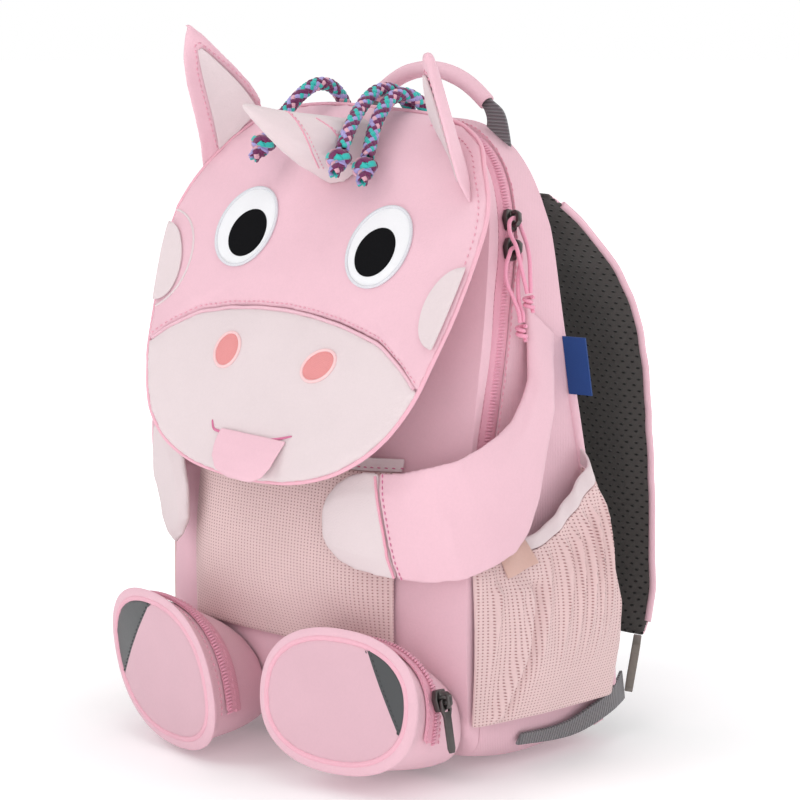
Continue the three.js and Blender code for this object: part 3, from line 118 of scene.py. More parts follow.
# The long slanting crease of the side pockets: depth and height, in millimetres.
POCKET_CREASE = [(-49.4, 31.6), (-46.2, 44.9), (-40.1, 63.3), (-35.4, 86.2), (-36.4, 104.5)]

# Name, place, size and power of the studio's lights.
LIGHTS = (
    ("key", (-1.0, -1.5, 1.7), 1.4, 12.5), ("fill", (1.8, -1.0, 0.9), 1.6, 10.5),
    ("top", (0.1, 0.2, 2.0), 1.6, 11), ("rear", (0.8, 1.6, 1.0), 1.0, 7), ("low", (0.7, -1.9, 0.35), 1.2, 8),
)

GROUPS = {}
PAINTS = {}


class BagCloth(bpy.types.PropertyGroup):
    pink: bpy.props.FloatVectorProperty(
        name="Pink", description="Main cloth", subtype="COLOR", size=3, default=(0.80, 0.505, 0.58))
    pale: bpy.props.FloatVectorProperty(
        name="Pale pink", description="Muzzle, hands, horn and lining", subtype="COLOR", size=3,
        default=(0.735, 0.625, 0.64))
    net: bpy.props.FloatVectorProperty(
        name="Net", description="Net of the pockets", subtype="COLOR", size=3, default=(0.77, 0.56, 0.555))
    # The colour in the nets' holes: the pink cloth behind them, darkened as painted shade.
    net_shaded_backing: bpy.props.FloatVectorProperty(
        name="Net holes", description="What shows through the net", subtype="COLOR", size=3,
        default=(0.42, 0.21, 0.21))
    mesh: bpy.props.FloatVectorProperty(
        name="Back mesh", description="Grey air mesh of the back and straps", subtype="COLOR", size=3,
        default=(0.088, 0.08, 0.076))
    webbing: bpy.props.FloatVectorProperty(
        name="Webbing", description="Grey ribbed webbing", subtype="COLOR", size=3, default=(0.17, 0.16, 0.17))
    thread: bpy.props.FloatVectorProperty(
        name="Thread", description="Stitching", subtype="COLOR", size=3, default=(0.62, 0.16, 0.30))
    weave: bpy.props.FloatProperty(
        name="Weave", description="Pitch of the main cloth's weave", subtype="DISTANCE", default=0.0007)
    crumple: bpy.props.FloatProperty(
        name="Crumple", description="Height of the soft folds", subtype="DISTANCE", default=0.0009)


class BagStitches(bpy.types.PropertyGroup):
    length: bpy.props.FloatProperty(
        name="Length", description="Length of a stitch", subtype="DISTANCE", default=0.0019)
    pitch: bpy.props.FloatProperty(
        name="Pitch", description="Distance from stitch to stitch", subtype="DISTANCE", default=0.0030)
    radius: bpy.props.FloatProperty(
        name="Radius", description="Half a thread's thickness", subtype="DISTANCE", default=0.00034)
    tooth: bpy.props.FloatProperty(
        name="Zip pitch", description="Distance from tooth to tooth of a zip", subtype="DISTANCE", default=0.0016)


class BagCords(bpy.types.PropertyGroup):
    mane: bpy.props.FloatProperty(
        name="Mane cord", description="Diameter of a mane cord", subtype="DISTANCE", default=0.0064)
    pull: bpy.props.FloatProperty(
        name="Pull cord", description="Diameter of a pull cord", subtype="DISTANCE", default=0.002)
    strands: bpy.props.IntProperty(
        name="Strands", description="Strands of the braid each way round", default=6)


class BagStage(bpy.types.PropertyGroup):
    distance: bpy.props.FloatProperty(
        name="Distance", description="From the camera to its target", subtype="DISTANCE", default=1.5)
    azimuth: bpy.props.FloatProperty(
        name="Azimuth", description="Camera's direction round the bag", subtype="ANGLE",
        default=math.radians(43))
    elevation: bpy.props.FloatProperty(
        name="Elevation", description="Camera's height above the target", subtype="ANGLE",
        default=math.radians(9.5))
    target: bpy.props.FloatVectorProperty(
        name="Target", description="What the camera looks at", subtype="TRANSLATION", size=3,
        default=(0, 0, 0.161))
    width: bpy.props.FloatProperty(
        name="Width", description="Width of the view at the target", subtype="DISTANCE", default=0.39024)


def settings(name):
    return getattr(bpy.context.scene, "bag_" + name)


# Selecting and editing

def select_only(piece):
    if bpy.context.object and bpy.context.object.mode != "OBJECT":
        bpy.ops.object.mode_set(mode="OBJECT")
    bpy.ops.object.select_all(action="DESELECT")
    piece.hide_viewport = False
    piece.select_set(True)
    bpy.context.view_layer.objects.active = piece


def edit(piece, *steps):
    """Runs mesh operators on the whole piece in edit mode."""
    select_only(piece)
    bpy.ops.object.mode_set(mode="EDIT")
    bpy.ops.mesh.select_all(action="SELECT")
    for operator, values in steps:
        operator(**values)
    bpy.ops.object.mode_set(mode="OBJECT")


def add_object(name, data):
    made = bpy.data.objects.new(name, data)
    bpy.context.scene.collection.objects.link(made)
    return made


def apply_modifier(piece, kind, **values):
    select_only(piece)
    made = piece.modifiers.new(kind.title(), kind)
    for key, value in values.items():
        setattr(made, key, value)
    bpy.ops.object.modifier_apply(modifier=made.name)


def copy_of(node, name):
    """A merged mesh of a solid's surface."""
    select_only(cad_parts[node])
    piece = add_object(name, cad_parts[node].data.copy())
    piece.data.materials.clear()
    while piece.data.attributes.get("custom_normal"):
        piece.data.attributes.remove(piece.data.attributes["custom_normal"])
    quads = {"face_threshold": math.radians(30), "shape_threshold": math.radians(60)}
    edit(piece, (bpy.ops.mesh.remove_doubles, {"threshold": 2e-5}), (bpy.ops.mesh.tris_convert_to_quads, quads))
    return piece


def finish_piece(piece, paint, nodes=(), body=BAG, angle=50):
    """Gives a piece its finish, and makes it ride on its body and stand for its solids."""
    select_only(piece)
    bpy.ops.object.shade_smooth_by_angle(angle=math.radians(angle))
    piece.data.materials.clear()
    for one in ([paint] if isinstance(paint, str) else paint):
        piece.data.materials.append(PAINTS[one])
    if nodes:
        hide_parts(*nodes)
    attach(piece, body)
    return piece


def soft_skin(node, name, levels=2, crease=0.85, angle=52):
    """A cloth wall: the solid's surface, rounded between its sharp edges, which are creased."""
    piece = copy_of(node, name)
    select_only(piece)
    bpy.ops.object.mode_set(mode="EDIT")
    bpy.ops.mesh.select_mode(type="EDGE")
    bpy.ops.mesh.select_all(action="DESELECT")
    bpy.ops.mesh.edges_select_sharp(sharpness=math.radians(angle))
    bpy.ops.transform.edge_crease(value=crease)
    bpy.ops.mesh.select_mode(type="VERT")
    bpy.ops.object.mode_set(mode="OBJECT")
    apply_modifier(piece, "SUBSURF", levels=levels, render_levels=levels)
    return piece


def cloth_piece(node, name, paint, levels=2, crease=0.85, angle=52):
    """A cloth wall that stands for its solid, finished."""
    return finish_piece(soft_skin(node, name, levels, crease, angle), paint, [node])


def padded_piece(node, name, voxel, smooth, paint, swell=0.0):
    """A soft form remeshed evenly, with rounded edges; it swells as far as is said."""
    piece = copy_of(node, name)
    apply_modifier(piece, "REMESH", mode="VOXEL", voxel_size=voxel)
    apply_modifier(piece, "SMOOTH", factor=0.5, iterations=smooth)
    if swell:
        inflate(piece, swell)
    finish_piece(piece, paint, [node])
    return piece


def vertex_array(piece):
    found = np.empty(len(piece.data.vertices) * 3)
    piece.data.vertices.foreach_get("co", found)
    return found.reshape(-1, 3)


def set_vertices(piece, points):
    piece.data.vertices.foreach_set("co", points.ravel())
    piece.data.update()


def crumple(piece, height, size, seed, fade=None):
    """Moves the surface along its normals in soft folds of a given size."""
    points = vertex_array(piece)
    normals = np.array([v.normal for v in piece.data.vertices])
    shift = np.array([noise.noise(Vector(p) / size + Vector((seed, 0, 0))) for p in points])
    if fade is not None:
        shift = shift * fade(points)
    set_vertices(piece, points + normals * (shift * height)[:, None])


def inflate(piece, cap, pressure=3.0, frames=14):
    """Swells a padded form as air in cloth does, and keeps it near its solid."""
    select_only(piece)
    before = vertex_array(piece)
    blown = piece.modifiers.new("Cloth", "CLOTH")
    blown.settings.use_pressure = True
    blown.settings.uniform_pressure_force = pressure
    blown.settings.quality = 4
    blown.settings.mass = 0.3
    blown.settings.tension_stiffness = 25
    blown.settings.compression_stiffness = 25
    blown.settings.effector_weights.gravity = 0
    blown.collision_settings.use_collision = False
    blown.point_cache.frame_end = frames
    for number in range(1, frames + 1):
        bpy.context.scene.frame_set(number)
    bpy.ops.object.modifier_apply(modifier=blown.name)
    bpy.context.scene.frame_set(1)
    move = vertex_array(piece) - before
    size = np.linalg.norm(move, axis=1, keepdims=True)
    set_vertices(piece, before + move * np.minimum(1, cap / np.maximum(size, 1e-9)))


# Lines on surfaces

class Surface:
    """The skin of finished pieces, to lay things on."""

    def __init__(self, *pieces):
        points, faces = [], []
        for piece in pieces:
            start = len(points)
            points.extend(v.co.copy() for v in piece.data.vertices)
            faces.extend([start + i for i in f.vertices] for f in piece.data.polygons)
        self.tree = bvhtree.BVHTree.FromPolygons(points, faces)

    def near(self, point):
        place, normal, _, _ = self.tree.find_nearest(Vector(point))
        return place, normal

    def hit(self, start, way):
        place, normal, _, _ = self.tree.ray_cast(Vector(start), Vector(way).normalized())
        return (place, normal) if place else None

    def ahead(self, start, way):
        """Where a ray lands, or else the nearest place, with its normal against the ray."""
        place, normal = self.hit(start, way) or self.near(start)
        return place, -normal if normal.dot(Vector(way)) > 0 else normal


def distances(line):
    """How far along a line each of its points lies."""
    reach = [0.0]
    for before, after in zip(line, line[1:]):
        reach.append(reach[-1] + (after - before).length)
    return reach


def resample(points, pitch, closed=False):
    """Points at an even pitch along a smooth curve through the given ones."""
    count = len(points)
    fine = []
    for k in range(count if closed else count - 1):
        ends = [k - 1, k, k + 1, k + 2]
        if closed:
            a, b, c, d = (Vector(points[i % count]) for i in ends)
        else:
            a, b, c, d = (Vector(points[min(max(i, 0), count - 1)]) for i in ends)
        for s in range(8):
            t = s / 8
            fine.append(0.5 * (2 * b + (c - a) * t + (2 * a - 5 * b + 4 * c - d) * t * t
                               + (3 * b - a - 3 * c + d) * t ** 3))
    fine.append(Vector(points[0] if closed else points[-1]))
    reach = distances(fine)
    steps = max(2, round(reach[-1] / pitch))
    result, k = [], 0
    for s in range(steps if closed else steps + 1):
        goal = reach[-1] * s / steps
        while k < len(fine) - 2 and reach[k + 1] < goal:
            k += 1
        span = max(reach[k + 1] - reach[k], 1e-12)
        result.append(fine[k].lerp(fine[k + 1], (goal - reach[k]) / span))
    return result


def tangents(points, closed=False):
    count = len(points)
    if closed:
        return [(points[(k + 1) % count] - points[k - 1]).normalized() for k in range(count)]
    return [(points[min(k + 1, count - 1)] - points[max(k - 1, 0)]).normalized() for k in range(count)]


def repeat(name, sizes, rings, places):
    """Copies of one small rounded form, each at a place with its own axes: along, across and out."""
    bpy.ops.object.select_all(action="DESELECT")
    bpy.ops.mesh.primitive_uv_sphere_add(segments=8, ring_count=rings, radius=1)
    unit = bpy.context.object
    edit(unit, (bpy.ops.transform.resize, {"value": sizes}))
    copies = []
    for origin, along, out in places:
        across = out.cross(along).normalized()
        up = along.cross(across).normalized()
        turn = Matrix((along, across, up)).transposed().to_4x4()
        turn.translation = origin
        one = add_object(name, unit.data.copy())
        one.data.transform(turn)
        copies.append(one)
    bpy.data.objects.remove(unit)
    select_only(copies[0])
    for one in copies:
        one.select_set(True)
    bpy.ops.object.join()
    return bpy.context.object


def stitch_row(name, rows, skin, paint, ray=None, size=1.0):
    """Stitches along one or more lines, laid on a skin and sunk a little into it."""
    s = settings("stitches")
    places = []
    for row in rows:
        closed = (Vector(row[0]) - Vector(row[-1])).length < 1e-6
        line = resample(row[:-1] if closed else row, s.pitch * size, closed)
        for point, along in zip(line, tangents(line, closed)):
            place, out = skin.ahead(point, ray) if ray else skin.near(point)
            along = (along - out * along.dot(out)).normalized()
            places.append((place + out * s.radius * size * 0.75, along, out))
    sizes = (s.length * size / 2, s.radius * size, s.radius * size)
    return finish_piece(repeat(name, sizes, 5, places), paint, angle=60)


def tube(name, route, radius, paint, closed=False, nodes=(), profile=None):
    """A cord, a seam or a rolled edge along a line, thinner where a profile says so."""
    curve = bpy.data.curves.new(name, "CURVE")
    curve.dimensions = "3D"
    curve.bevel_depth = radius
    curve.bevel_resolution = 2
    curve.use_fill_caps = not closed
    spline = curve.splines.new("POLY")
    spline.points.add(len(route) - 1)
    spline.use_cyclic_u = closed
    for k, (point, place) in enumerate(zip(spline.points, route)):
        point.co = (*place, 1)
        point.radius = profile(k / (len(route) - 1)) if profile else 1
    piece = add_object(name, curve)
    select_only(piece)
    bpy.ops.object.convert(target="MESH")
    edit(piece, (bpy.ops.mesh.remove_doubles, {"threshold": 1e-6}),
         (bpy.ops.mesh.normals_make_consistent, {"inside": False}))
    return finish_piece(piece, paint, nodes, angle=60)


def hull(points):
    """The outline of flat points, in turn."""
    ordered = sorted(set((round(x, 7), round(y, 7)) for x, y in points))

    def half(sequence):
        chain = []
        for p in sequence:
            while len(chain) > 1 and ((chain[-1][0] - chain[-2][0]) * (p[1] - chain[-2][1])
                                      - (chain[-1][1] - chain[-2][1]) * (p[0] - chain[-2][0])) <= 0:
                chain.pop()
            chain.append(p)
        return chain[:-1]
    return half(ordered) + half(ordered[::-1])


def node_points(*nodes):
    return np.concatenate([vertex_array(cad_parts[n]) for n in nodes])


def rim_of(nodes, grow=0.0, flatten=None):
    """The closed outline of solids seen along a direction, or else their thin one, moved outwards."""
    points = node_points(*nodes)
    centre = points.mean(0)
    if flatten is None:
        _, _, axes = np.linalg.svd(points - centre, full_matrices=False)
    else:
        normal = np.array(flatten, float)
        side = np.array([1.0, 0, 0])
        side = side - normal * side.dot(normal)
        side /= np.linalg.norm(side)
        axes = np.array([side, np.cross(normal, side), normal])
    flat = (points - centre) @ axes.T
    outline = hull(flat[:, :2])
    middle = np.mean(np.array(outline), 0)
    line = []
    for x, y in outline:
        close = np.hypot(flat[:, 0] - x, flat[:, 1] - y) < 0.003
        depth = flat[close, 2].mean()
        way = np.array([x, y]) - middle
        way = way / np.linalg.norm(way) * grow
        line.append(Vector(centre + axes.T @ np.array([x + way[0], y + way[1], depth])))
    return line + [line[0]]


def shared_seam(first, second):
    """The line where two solids meet, from bottom to top."""
    a, b = node_points(first), node_points(second)
    found = []
    for p in a:
        gaps = np.linalg.norm(b - p, axis=1)
        k = gaps.argmin()
        if gaps[k] < 0.0013:
            found.append((p + b[k]) / 2)
    found = np.array(found)
    found = found[found[:, 2].argsort()]
    line, group = [], [found[0]]
    for p in found[1:]:
        if abs(p[2] - group[-1][2]) > 0.002:
            line.append(Vector(np.mean(group, 0)))
            group = []
        group.append(p)
    line.append(Vector(np.mean(group, 0)))
    return line


def crest_line(node, origin, axis, group=8):
    """The ridge of a zip's coil and the way out of it, from the solid's cross rows round an axis."""
    piece = copy_of(node, "crest")
    points = vertex_array(piece)
    bpy.data.objects.remove(piece)
    origin, axis = np.array(origin), np.array(Vector(axis).normalized())
    away = points - origin
    away = away - np.outer(away @ axis, axis)
    first = np.array(Vector(axis).orthogonal().normalized())
    second = np.cross(axis, first)
    angles = np.arctan2(away @ second, away @ first)
    ordered = np.sort(angles)
    gaps = np.diff(np.append(ordered, ordered[0] + TURN))
    cut = ordered[(gaps.argmax() + 1) % len(ordered)]
    order = ((angles - cut + 1e-6) % TURN).argsort()
    line, outs = [], []
    for k in range(0, len(order) - group + 1, group):
        some = order[k:k + group]
        far = some[np.linalg.norm(away[some], axis=1).argsort()]
        line.append(Vector(points[far[-2:]].mean(0)))
        outs.append(Vector(away[some].mean(0)).normalized())
    return line, outs


# Finishes

def node_group(name, inputs, outputs):
    """A new shader group of numbers, with its inputs and the node that takes its outputs."""
    group = bpy.data.node_groups.new(name, "ShaderNodeTree")
    for label, value in inputs.items():
        group.interface.new_socket(label, in_out="INPUT", socket_type="NodeSocketFloat").default_value = value
    for label in outputs:
        group.interface.new_socket(label, in_out="OUTPUT", socket_type="NodeSocketFloat")
    GROUPS[name] = group
    return group, group.nodes.new("NodeGroupInput").outputs, group.nodes.new("NodeGroupOutput").inputs


def math_node(tree, operation, first, second, clamp=False):
    made = tree.nodes.new("ShaderNodeMath")
    made.operation = operation
    made.use_clamp = clamp
    for k, value in enumerate((first, second)):
        if isinstance(value, (int, float)):
            made.inputs[k].default_value = value
        elif value is not None:
            tree.links.new(value, made.inputs[k])
    return made.outputs[0]


def object_place(tree):
    """A place on the piece, and its three numbers."""
    place = tree.nodes.new("ShaderNodeTexCoord").outputs["Object"]
    split = tree.nodes.new("ShaderNodeSeparateXYZ")
    tree.links.new(place, split.inputs[0])
    return place, split.outputs


def grain(tree, place, scale, detail=2):
    made = tree.nodes.new("ShaderNodeTexNoise")
    made.inputs["Scale"].default_value = scale
    made.inputs["Detail"].default_value = detail
    tree.links.new(place, made.inputs["Vector"])
    return made.outputs[0]


def weave_group():
    """Threads of a plain weave on any surface, soft unevenness of its dye, and painted shade in the dips between
    its threads.
    """
    group, given, result = node_group("weave", {"Pitch": 0.0007, "Slant": 0.0}, ["Height", "Shade"])
    calc = functools.partial(math_node, group)
    place, (x, y, z) = object_place(group)
    turn = calc("DIVIDE", TURN, given["Pitch"])
    level = calc("ADD", calc("ADD", x, calc("MULTIPLY", y, 0.93)), calc("MULTIPLY", z, given["Slant"]))
    warp = calc("SINE", calc("MULTIPLY", level, turn), None)
    weft = calc("SINE", calc("MULTIPLY", z, turn), None)
    threads = calc("MULTIPLY", calc("MULTIPLY", warp, weft), 0.5)
    height = calc("ADD", threads, grain(group, place, 900))
    # Partly the dye's random unevenness, partly painted shade: darker in the dips between the threads, lighter on
    # their crests.
    dye_and_shade = calc("ADD", calc("MULTIPLY", grain(group, place, 22, 3), 0.6),
                 calc("MULTIPLY", calc("ADD", height, 0.5), 0.28))
    group.links.new(height, result["Height"])
    group.links.new(dye_and_shade, result["Shade"])


def dots_group():
    """Rows of small holes across a cloth, staggered or in line."""
    group, given, result = node_group(
        "dots", {"Across": 0.002, "Up": 0.0015, "Size": 0.4, "Stagger": 0.0, "Turn": 0.0}, ["Hole"])
    calc = functools.partial(math_node, group)
    _, (x, y, z) = object_place(group)
    along = calc("ADD", calc("MULTIPLY", x, calc("SUBTRACT", 1, given["Turn"])),
                 calc("MULTIPLY", y, given["Turn"]))
    row = calc("DIVIDE", z, given["Up"])
    odd = calc("MULTIPLY", calc("PINGPONG", calc("FLOOR", row, None), 1.0), given["Stagger"])
    column = calc("ADD", calc("DIVIDE", along, given["Across"]), odd)
    u, v = (calc("SUBTRACT", calc("FRACT", count, None), 0.5) for count in (column, row))
    far = calc("SQRT", calc("ADD", calc("MULTIPLY", u, u), calc("MULTIPLY", v, v)), None)
    edge = calc("MULTIPLY", calc("SUBTRACT", given["Size"], far), 8.0, True)
    group.links.new(edge, result["Hole"])


def shader(name, color, roughness, metallic=0.0, sheen=0.0, specular=0.5):
    """A new material, kept under its name: its node tree and main shader."""
    made = bpy.data.materials.new(name)
    made.use_nodes = True
    PAINTS[name] = made
    main = made.node_tree.nodes["Principled BSDF"]
    for socket, value in (("Base Color", (*color, 1)), ("Roughness", roughness), ("Metallic", metallic),
                          ("Sheen Weight", sheen), ("Sheen Roughness", 0.5), ("Specular IOR Level", specular)):
        main.inputs[socket].default_value = value
    return made.node_tree, main


def place_group(tree, name, **values):
    made = tree.nodes.new("ShaderNodeGroup")
    made.node_tree = GROUPS[name]
    for key, value in values.items():
        made.inputs[key].default_value = value
    return made.outputs


def color_mix(tree, factor, first, second):
    made = tree.nodes.new("ShaderNodeMix")
    made.data_type = "RGBA"
    tree.links.new(factor, made.inputs[0])
    for index, value in ((6, first), (7, second)):
        if isinstance(value, bpy.types.NodeSocket):
            tree.links.new(value, made.inputs[index])
        else:
            made.inputs[index].default_value = (*value, 1)
    return made.outputs[2]


def tinted(color, share):
    return tuple(min(1, c * share) for c in color)


def two_tone(tree, factor, color, dark, light):
    """A colour between a darker and a lighter share of one."""
    return color_mix(tree, factor, tinted(color, dark), tinted(color, light))


def bump(tree, main, height, strength, distance):
    made = tree.nodes.new("ShaderNodeBump")
    made.inputs["Strength"].default_value = strength
    made.inputs["Distance"].default_value = distance
    tree.links.new(height, made.inputs["Height"])
    tree.links.new(made.outputs[0], main.inputs["Normal"])


def cloth(name, color, pitch, strength=0.38, slant=0.0, sheen=0.15, depth=0.82, specular=0.25):
    """Woven cloth; depth is the share of its colour that is left where its dye is darker and in the painted shade
    of the weave's dips.
    """
    tree, main = shader(name, color, 0.82, sheen=sheen, specular=specular)
    woven = place_group(tree, "weave", Pitch=pitch, Slant=slant)
    tree.links.new(two_tone(tree, woven["Shade"], color, depth, 1.06), main.inputs["Base Color"])
    bump(tree, main, woven["Height"], strength, 0.0003)


def dotted(name, color, shaded_backing, across, up, size, stagger, turn, strength):
    """Net or air mesh: cloth with rows of holes, coloured as what lies behind them in painted shade."""
    tree, main = shader(name, color, 0.85, sheen=0.2, specular=0.2)
    woven = place_group(tree, "weave", Pitch=0.0008)
    dots = place_group(tree, "dots", Across=across, Up=up, Size=size, Stagger=stagger, Turn=turn)
    # The weave's uneven dye and its painted shade in the dips vary the colour.
    base = two_tone(tree, woven["Shade"], color, 0.8, 1.1)
    tree.links.new(color_mix(tree, dots["Hole"], base, shaded_backing), main.inputs["Base Color"])
    height = math_node(tree, "SUBTRACT", math_node(tree, "MULTIPLY", woven["Height"], 0.3), dots["Hole"])
    bump(tree, main, height, strength, 0.0005)


def ribbed(name, color, axis, pitch):
    """Webbing with ribs across it, in rows along one axis, painted darker in the troughs and lighter on the
    crests as shade and highlight.
    """
    tree, main = shader(name, color, 0.7, sheen=0.2, specular=0.35)
    calc = functools.partial(math_node, tree)
    place, levels = object_place(tree)
    rib = calc("SINE", calc("MULTIPLY", levels[axis], TURN / pitch), None)
    height = calc("ADD", rib, calc("MULTIPLY", grain(tree, place, 1400), 0.7))
    # Painted shade in the ribs' troughs and painted highlight on their crests.
    rib_shade_and_highlight = calc("ADD", calc("MULTIPLY", rib, 0.3), 0.5, True)
    tree.links.new(two_tone(tree, rib_shade_and_highlight, color, 0.55, 1.35), main.inputs["Base Color"])
    bump(tree, main, height, 0.8, 0.0004)


def thread(name, color, roughness=0.6):
    """Yarn, stitching, satin and zip coil."""
    tree, main = shader(name, color, roughness, sheen=0.3, specular=0.35)
    fibre = grain(tree, object_place(tree)[0], 2500)
    tree.links.new(two_tone(tree, fibre, color, 0.72, 1.2), main.inputs["Base Color"])
    bump(tree, main, fibre, 0.5, 0.0002)


def metal(name, color, roughness, metallic=1.0):
    """Cast metal or hard plastic, a little smeared."""
    tree, main = shader(name, color, roughness, metallic)
    smear = grain(tree, object_place(tree)[0], 350, 4)
    rough = math_node(tree, "ADD", math_node(tree, "MULTIPLY", smear, 0.18), roughness - 0.09)
    tree.links.new(rough, main.inputs["Roughness"])
    tree.links.new(two_tone(tree, smear, color, 0.8, 1.2), main.inputs["Base Color"])
    bump(tree, main, smear, 0.12, 0.0002)


def sole_paint(name, point, normal):
    """Pink cloth with a grey reflecting wedge beyond a straight line."""
    s = settings("cloth")
    tree, main = shader(name, s.pink, 0.8, sheen=0.2, specular=0.3)
    calc = functools.partial(math_node, tree)
    woven = place_group(tree, "weave", Pitch=s.weave)
    place = object_place(tree)[0]
    for operation, value in (("SUBTRACT", point), ("DOT_PRODUCT", normal)):
        step = tree.nodes.new("ShaderNodeVectorMath")
        step.operation = operation
        step.inputs[1].default_value = value
        tree.links.new(place, step.inputs[0])
        place = step.outputs[0]
    mask = calc("MULTIPLY", step.outputs["Value"], 9000.0, True)
    # The pink darkens with the weave's uneven dye and its painted shade in the dips.
    pink = two_tone(tree, woven["Shade"], s.pink, 0.72, 0.9)
    tree.links.new(color_mix(tree, mask, pink, (0.062, 0.065, 0.068)), main.inputs["Base Color"])
    tree.links.new(calc("SUBTRACT", 0.82, calc("MULTIPLY", mask, 0.42)), main.inputs["Roughness"])
    height = calc("ADD", calc("MULTIPLY", woven["Height"], 0.35), calc("MULTIPLY", mask, 1.5))
    bump(tree, main, height, 0.4, 0.0003)


class BAG_OT_finishes(bpy.types.Operator):
    """Makes the materials of the cloths, nets, cords and metal"""

    bl_idname = "bag.finishes"
    bl_label = "Finishes"

    def execute(self, context):
        s = settings("cloth")
        weave_group()
        dots_group()
        cloth("pink", s.pink, s.weave)
        cloth("gusset", tinted(s.pink, 0.97), 0.0011, 0.5, slant=1.0)
        cloth("pale", s.pale, s.weave, 0.5, depth=0.88)
        # The tape is a deeper pink of its own, made darker still as painted shade beside the coil.
        cloth("tape", (0.80, 0.385, 0.49), 0.0009, 0.7)
        cloth("felt", (0.80, 0.80, 0.82), 0.0009, 0.5, depth=0.93)
        cloth("pupil", (0.006, 0.006, 0.007), 0.0009, 0.6, sheen=0.0, specular=0.05)
        cloth("coral", (0.80, 0.30, 0.30), 0.0009, 0.8)
        cloth("nostril_rim", (0.86, 0.58, 0.59), 0.0006, 0.3)
        cloth("peach", (0.82, 0.53, 0.46), 0.0006, 0.9)
        cloth("label", (0.012, 0.05, 0.20), 0.0006, 0.4)
        cloth("rim_pink", (0.83, 0.45, 0.54), 0.0007, 0.3)
        # The nets' holes show the cloth behind them in painted shade.
        dotted("front_net", s.net, s.net_shaded_backing, 0.0021, 0.0015, 0.25, 0.0, 0.0, 0.8)
        dotted("side_net", s.net, s.net_shaded_backing, 0.0019, 0.0015, 0.25, 0.0, 1.0, 0.8)
        # The air mesh's holes are near black: painted shade in its hollows.
        dotted("air_mesh", s.mesh, (0.006, 0.005, 0.005), 0.0052, 0.0029, 0.24, 0.5, 0.0, 1.0)
        ribbed("web", s.webbing, 1, 0.0018)
        ribbed("web_handle", s.webbing, 2, 0.0016)
        thread("thread", s.thread)
        thread("thread_pale", (0.78, 0.36, 0.46))
        thread("thread_dark", (0.05, 0.05, 0.055))
        thread("coil", (0.74, 0.33, 0.44), 0.45)
        thread("satin", (0.66, 0.66, 0.70), 0.45)
        thread("cord_pink", (0.80, 0.33, 0.46))
        for name, color in YARNS.items():
            thread("yarn_" + name, color, 0.55)
        metal("gunmetal", (0.10, 0.09, 0.088), 0.32)
        metal("taupe", (0.18, 0.155, 0.135), 0.5, 0.0)
        return {"FINISHED"}


# Cords

class BAG_OT_mane(bpy.types.Operator):
    """Braids the three mane cords and ties their knots"""

    bl_idname = "bag.mane"
    bl_label = "Mane cords"

    def execute(self, context):
        s = settings("cords")
        pitch, steps = 0.0007, 33
        for side, route in MANE_ROUTES.items():
            points = [Vector(p) * MM for p in route]
            line = resample(points, pitch)
            piece = braid("mane_braid_" + side, line, s.mane, s.strands, "mane_cord_" + side)
            forward = (points[-1] - points[-2]).normalized()
            across = forward.orthogonal().normalized()
            other = forward.cross(across)
            turns = []
            for k in range(steps + 1):
                t = k / steps
                angle = t * TURN * 1.75
                reach = 0.0033 * math.sin(math.pi * min(1, t * 1.05)) ** 0.6
                turns.append(points[-1] + forward * (0.0022 + 0.0078 * t)
                             + across * math.cos(angle) * reach + other * math.sin(angle) * reach)
            tail = turns[-1] + forward * 0.0045
            knot = braid("mane_tie_" + side, resample([*turns, tail], pitch), 0.0056, 4, "mane_knot_" + side)
        return {"FINISHED"}


def braid(name, line, diameter, strands, node):
    """A braided cord: strands run both ways round and pass over and under each other."""
    reach = distances(line)
    along = tangents(line)
    across = along[0].orthogonal().normalized()
    frames = []
    for way in along:
        across = (across - way * across.dot(way)).normalized()
        frames.append((across.copy(), way.cross(across)))
    pitch = math.pi * diameter
    wave = 0.05 * diameter
    base = diameter / 2 - wave * 1.9
    half_width = math.pi * base / strands * 0.84
    half_height = wave * 1.7
    sides = 6
    points, faces, colors = [], [], []
    for sense in (1, -1):
        for strand in range(strands):
            start = len(points)
            centre = []
            for k, place in enumerate(line):
                turn = TURN * (sense * reach[k] / pitch + strand / strands)
                lift = base + sense * wave * math.cos(TURN * strands * reach[k] / pitch)
                u, v = frames[k]
                out = u * math.cos(turn) + v * math.sin(turn)
                centre.append((place + out * lift, out))
            for k, (place, out) in enumerate(centre):
                ahead = centre[min(k + 1, len(centre) - 1)][0] - centre[max(k - 1, 0)][0]
                side = ahead.normalized().cross(out)
                for s in range(sides):
                    angle = TURN * s / sides
                    points.append(place + side * math.cos(angle) * half_width
                                  + out * math.sin(angle) * half_height)
            for k in range(len(line) - 1):
                for s in range(sides):
                    a, b = start + k * sides + s, start + k * sides + (s + 1) % sides
                    faces.append([a, b, b + sides, a + sides])
                    colors.append(STRAND_YARNS[(strand * 2 + (sense < 0)) % len(STRAND_YARNS)])
            last = start + (len(line) - 1) * sides
            faces.append([start + s for s in range(sides)][::-1])
            faces.append([last + s for s in range(sides)])
            colors.extend([colors[-1]] * 2)
    made = bpy.data.meshes.new(name)
    made.from_pydata([tuple(p) for p in points], [], faces)
    piece = add_object(name, made)
    for yarn in YARNS:
        made.materials.append(PAINTS["yarn_" + yarn])
    made.polygons.foreach_set("material_index", colors)
    edit(piece, (bpy.ops.mesh.normals_make_consistent, {"inside": False}))
    bpy.ops.object.shade_smooth()
    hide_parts(node)
    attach(piece, BAG)
    return piece


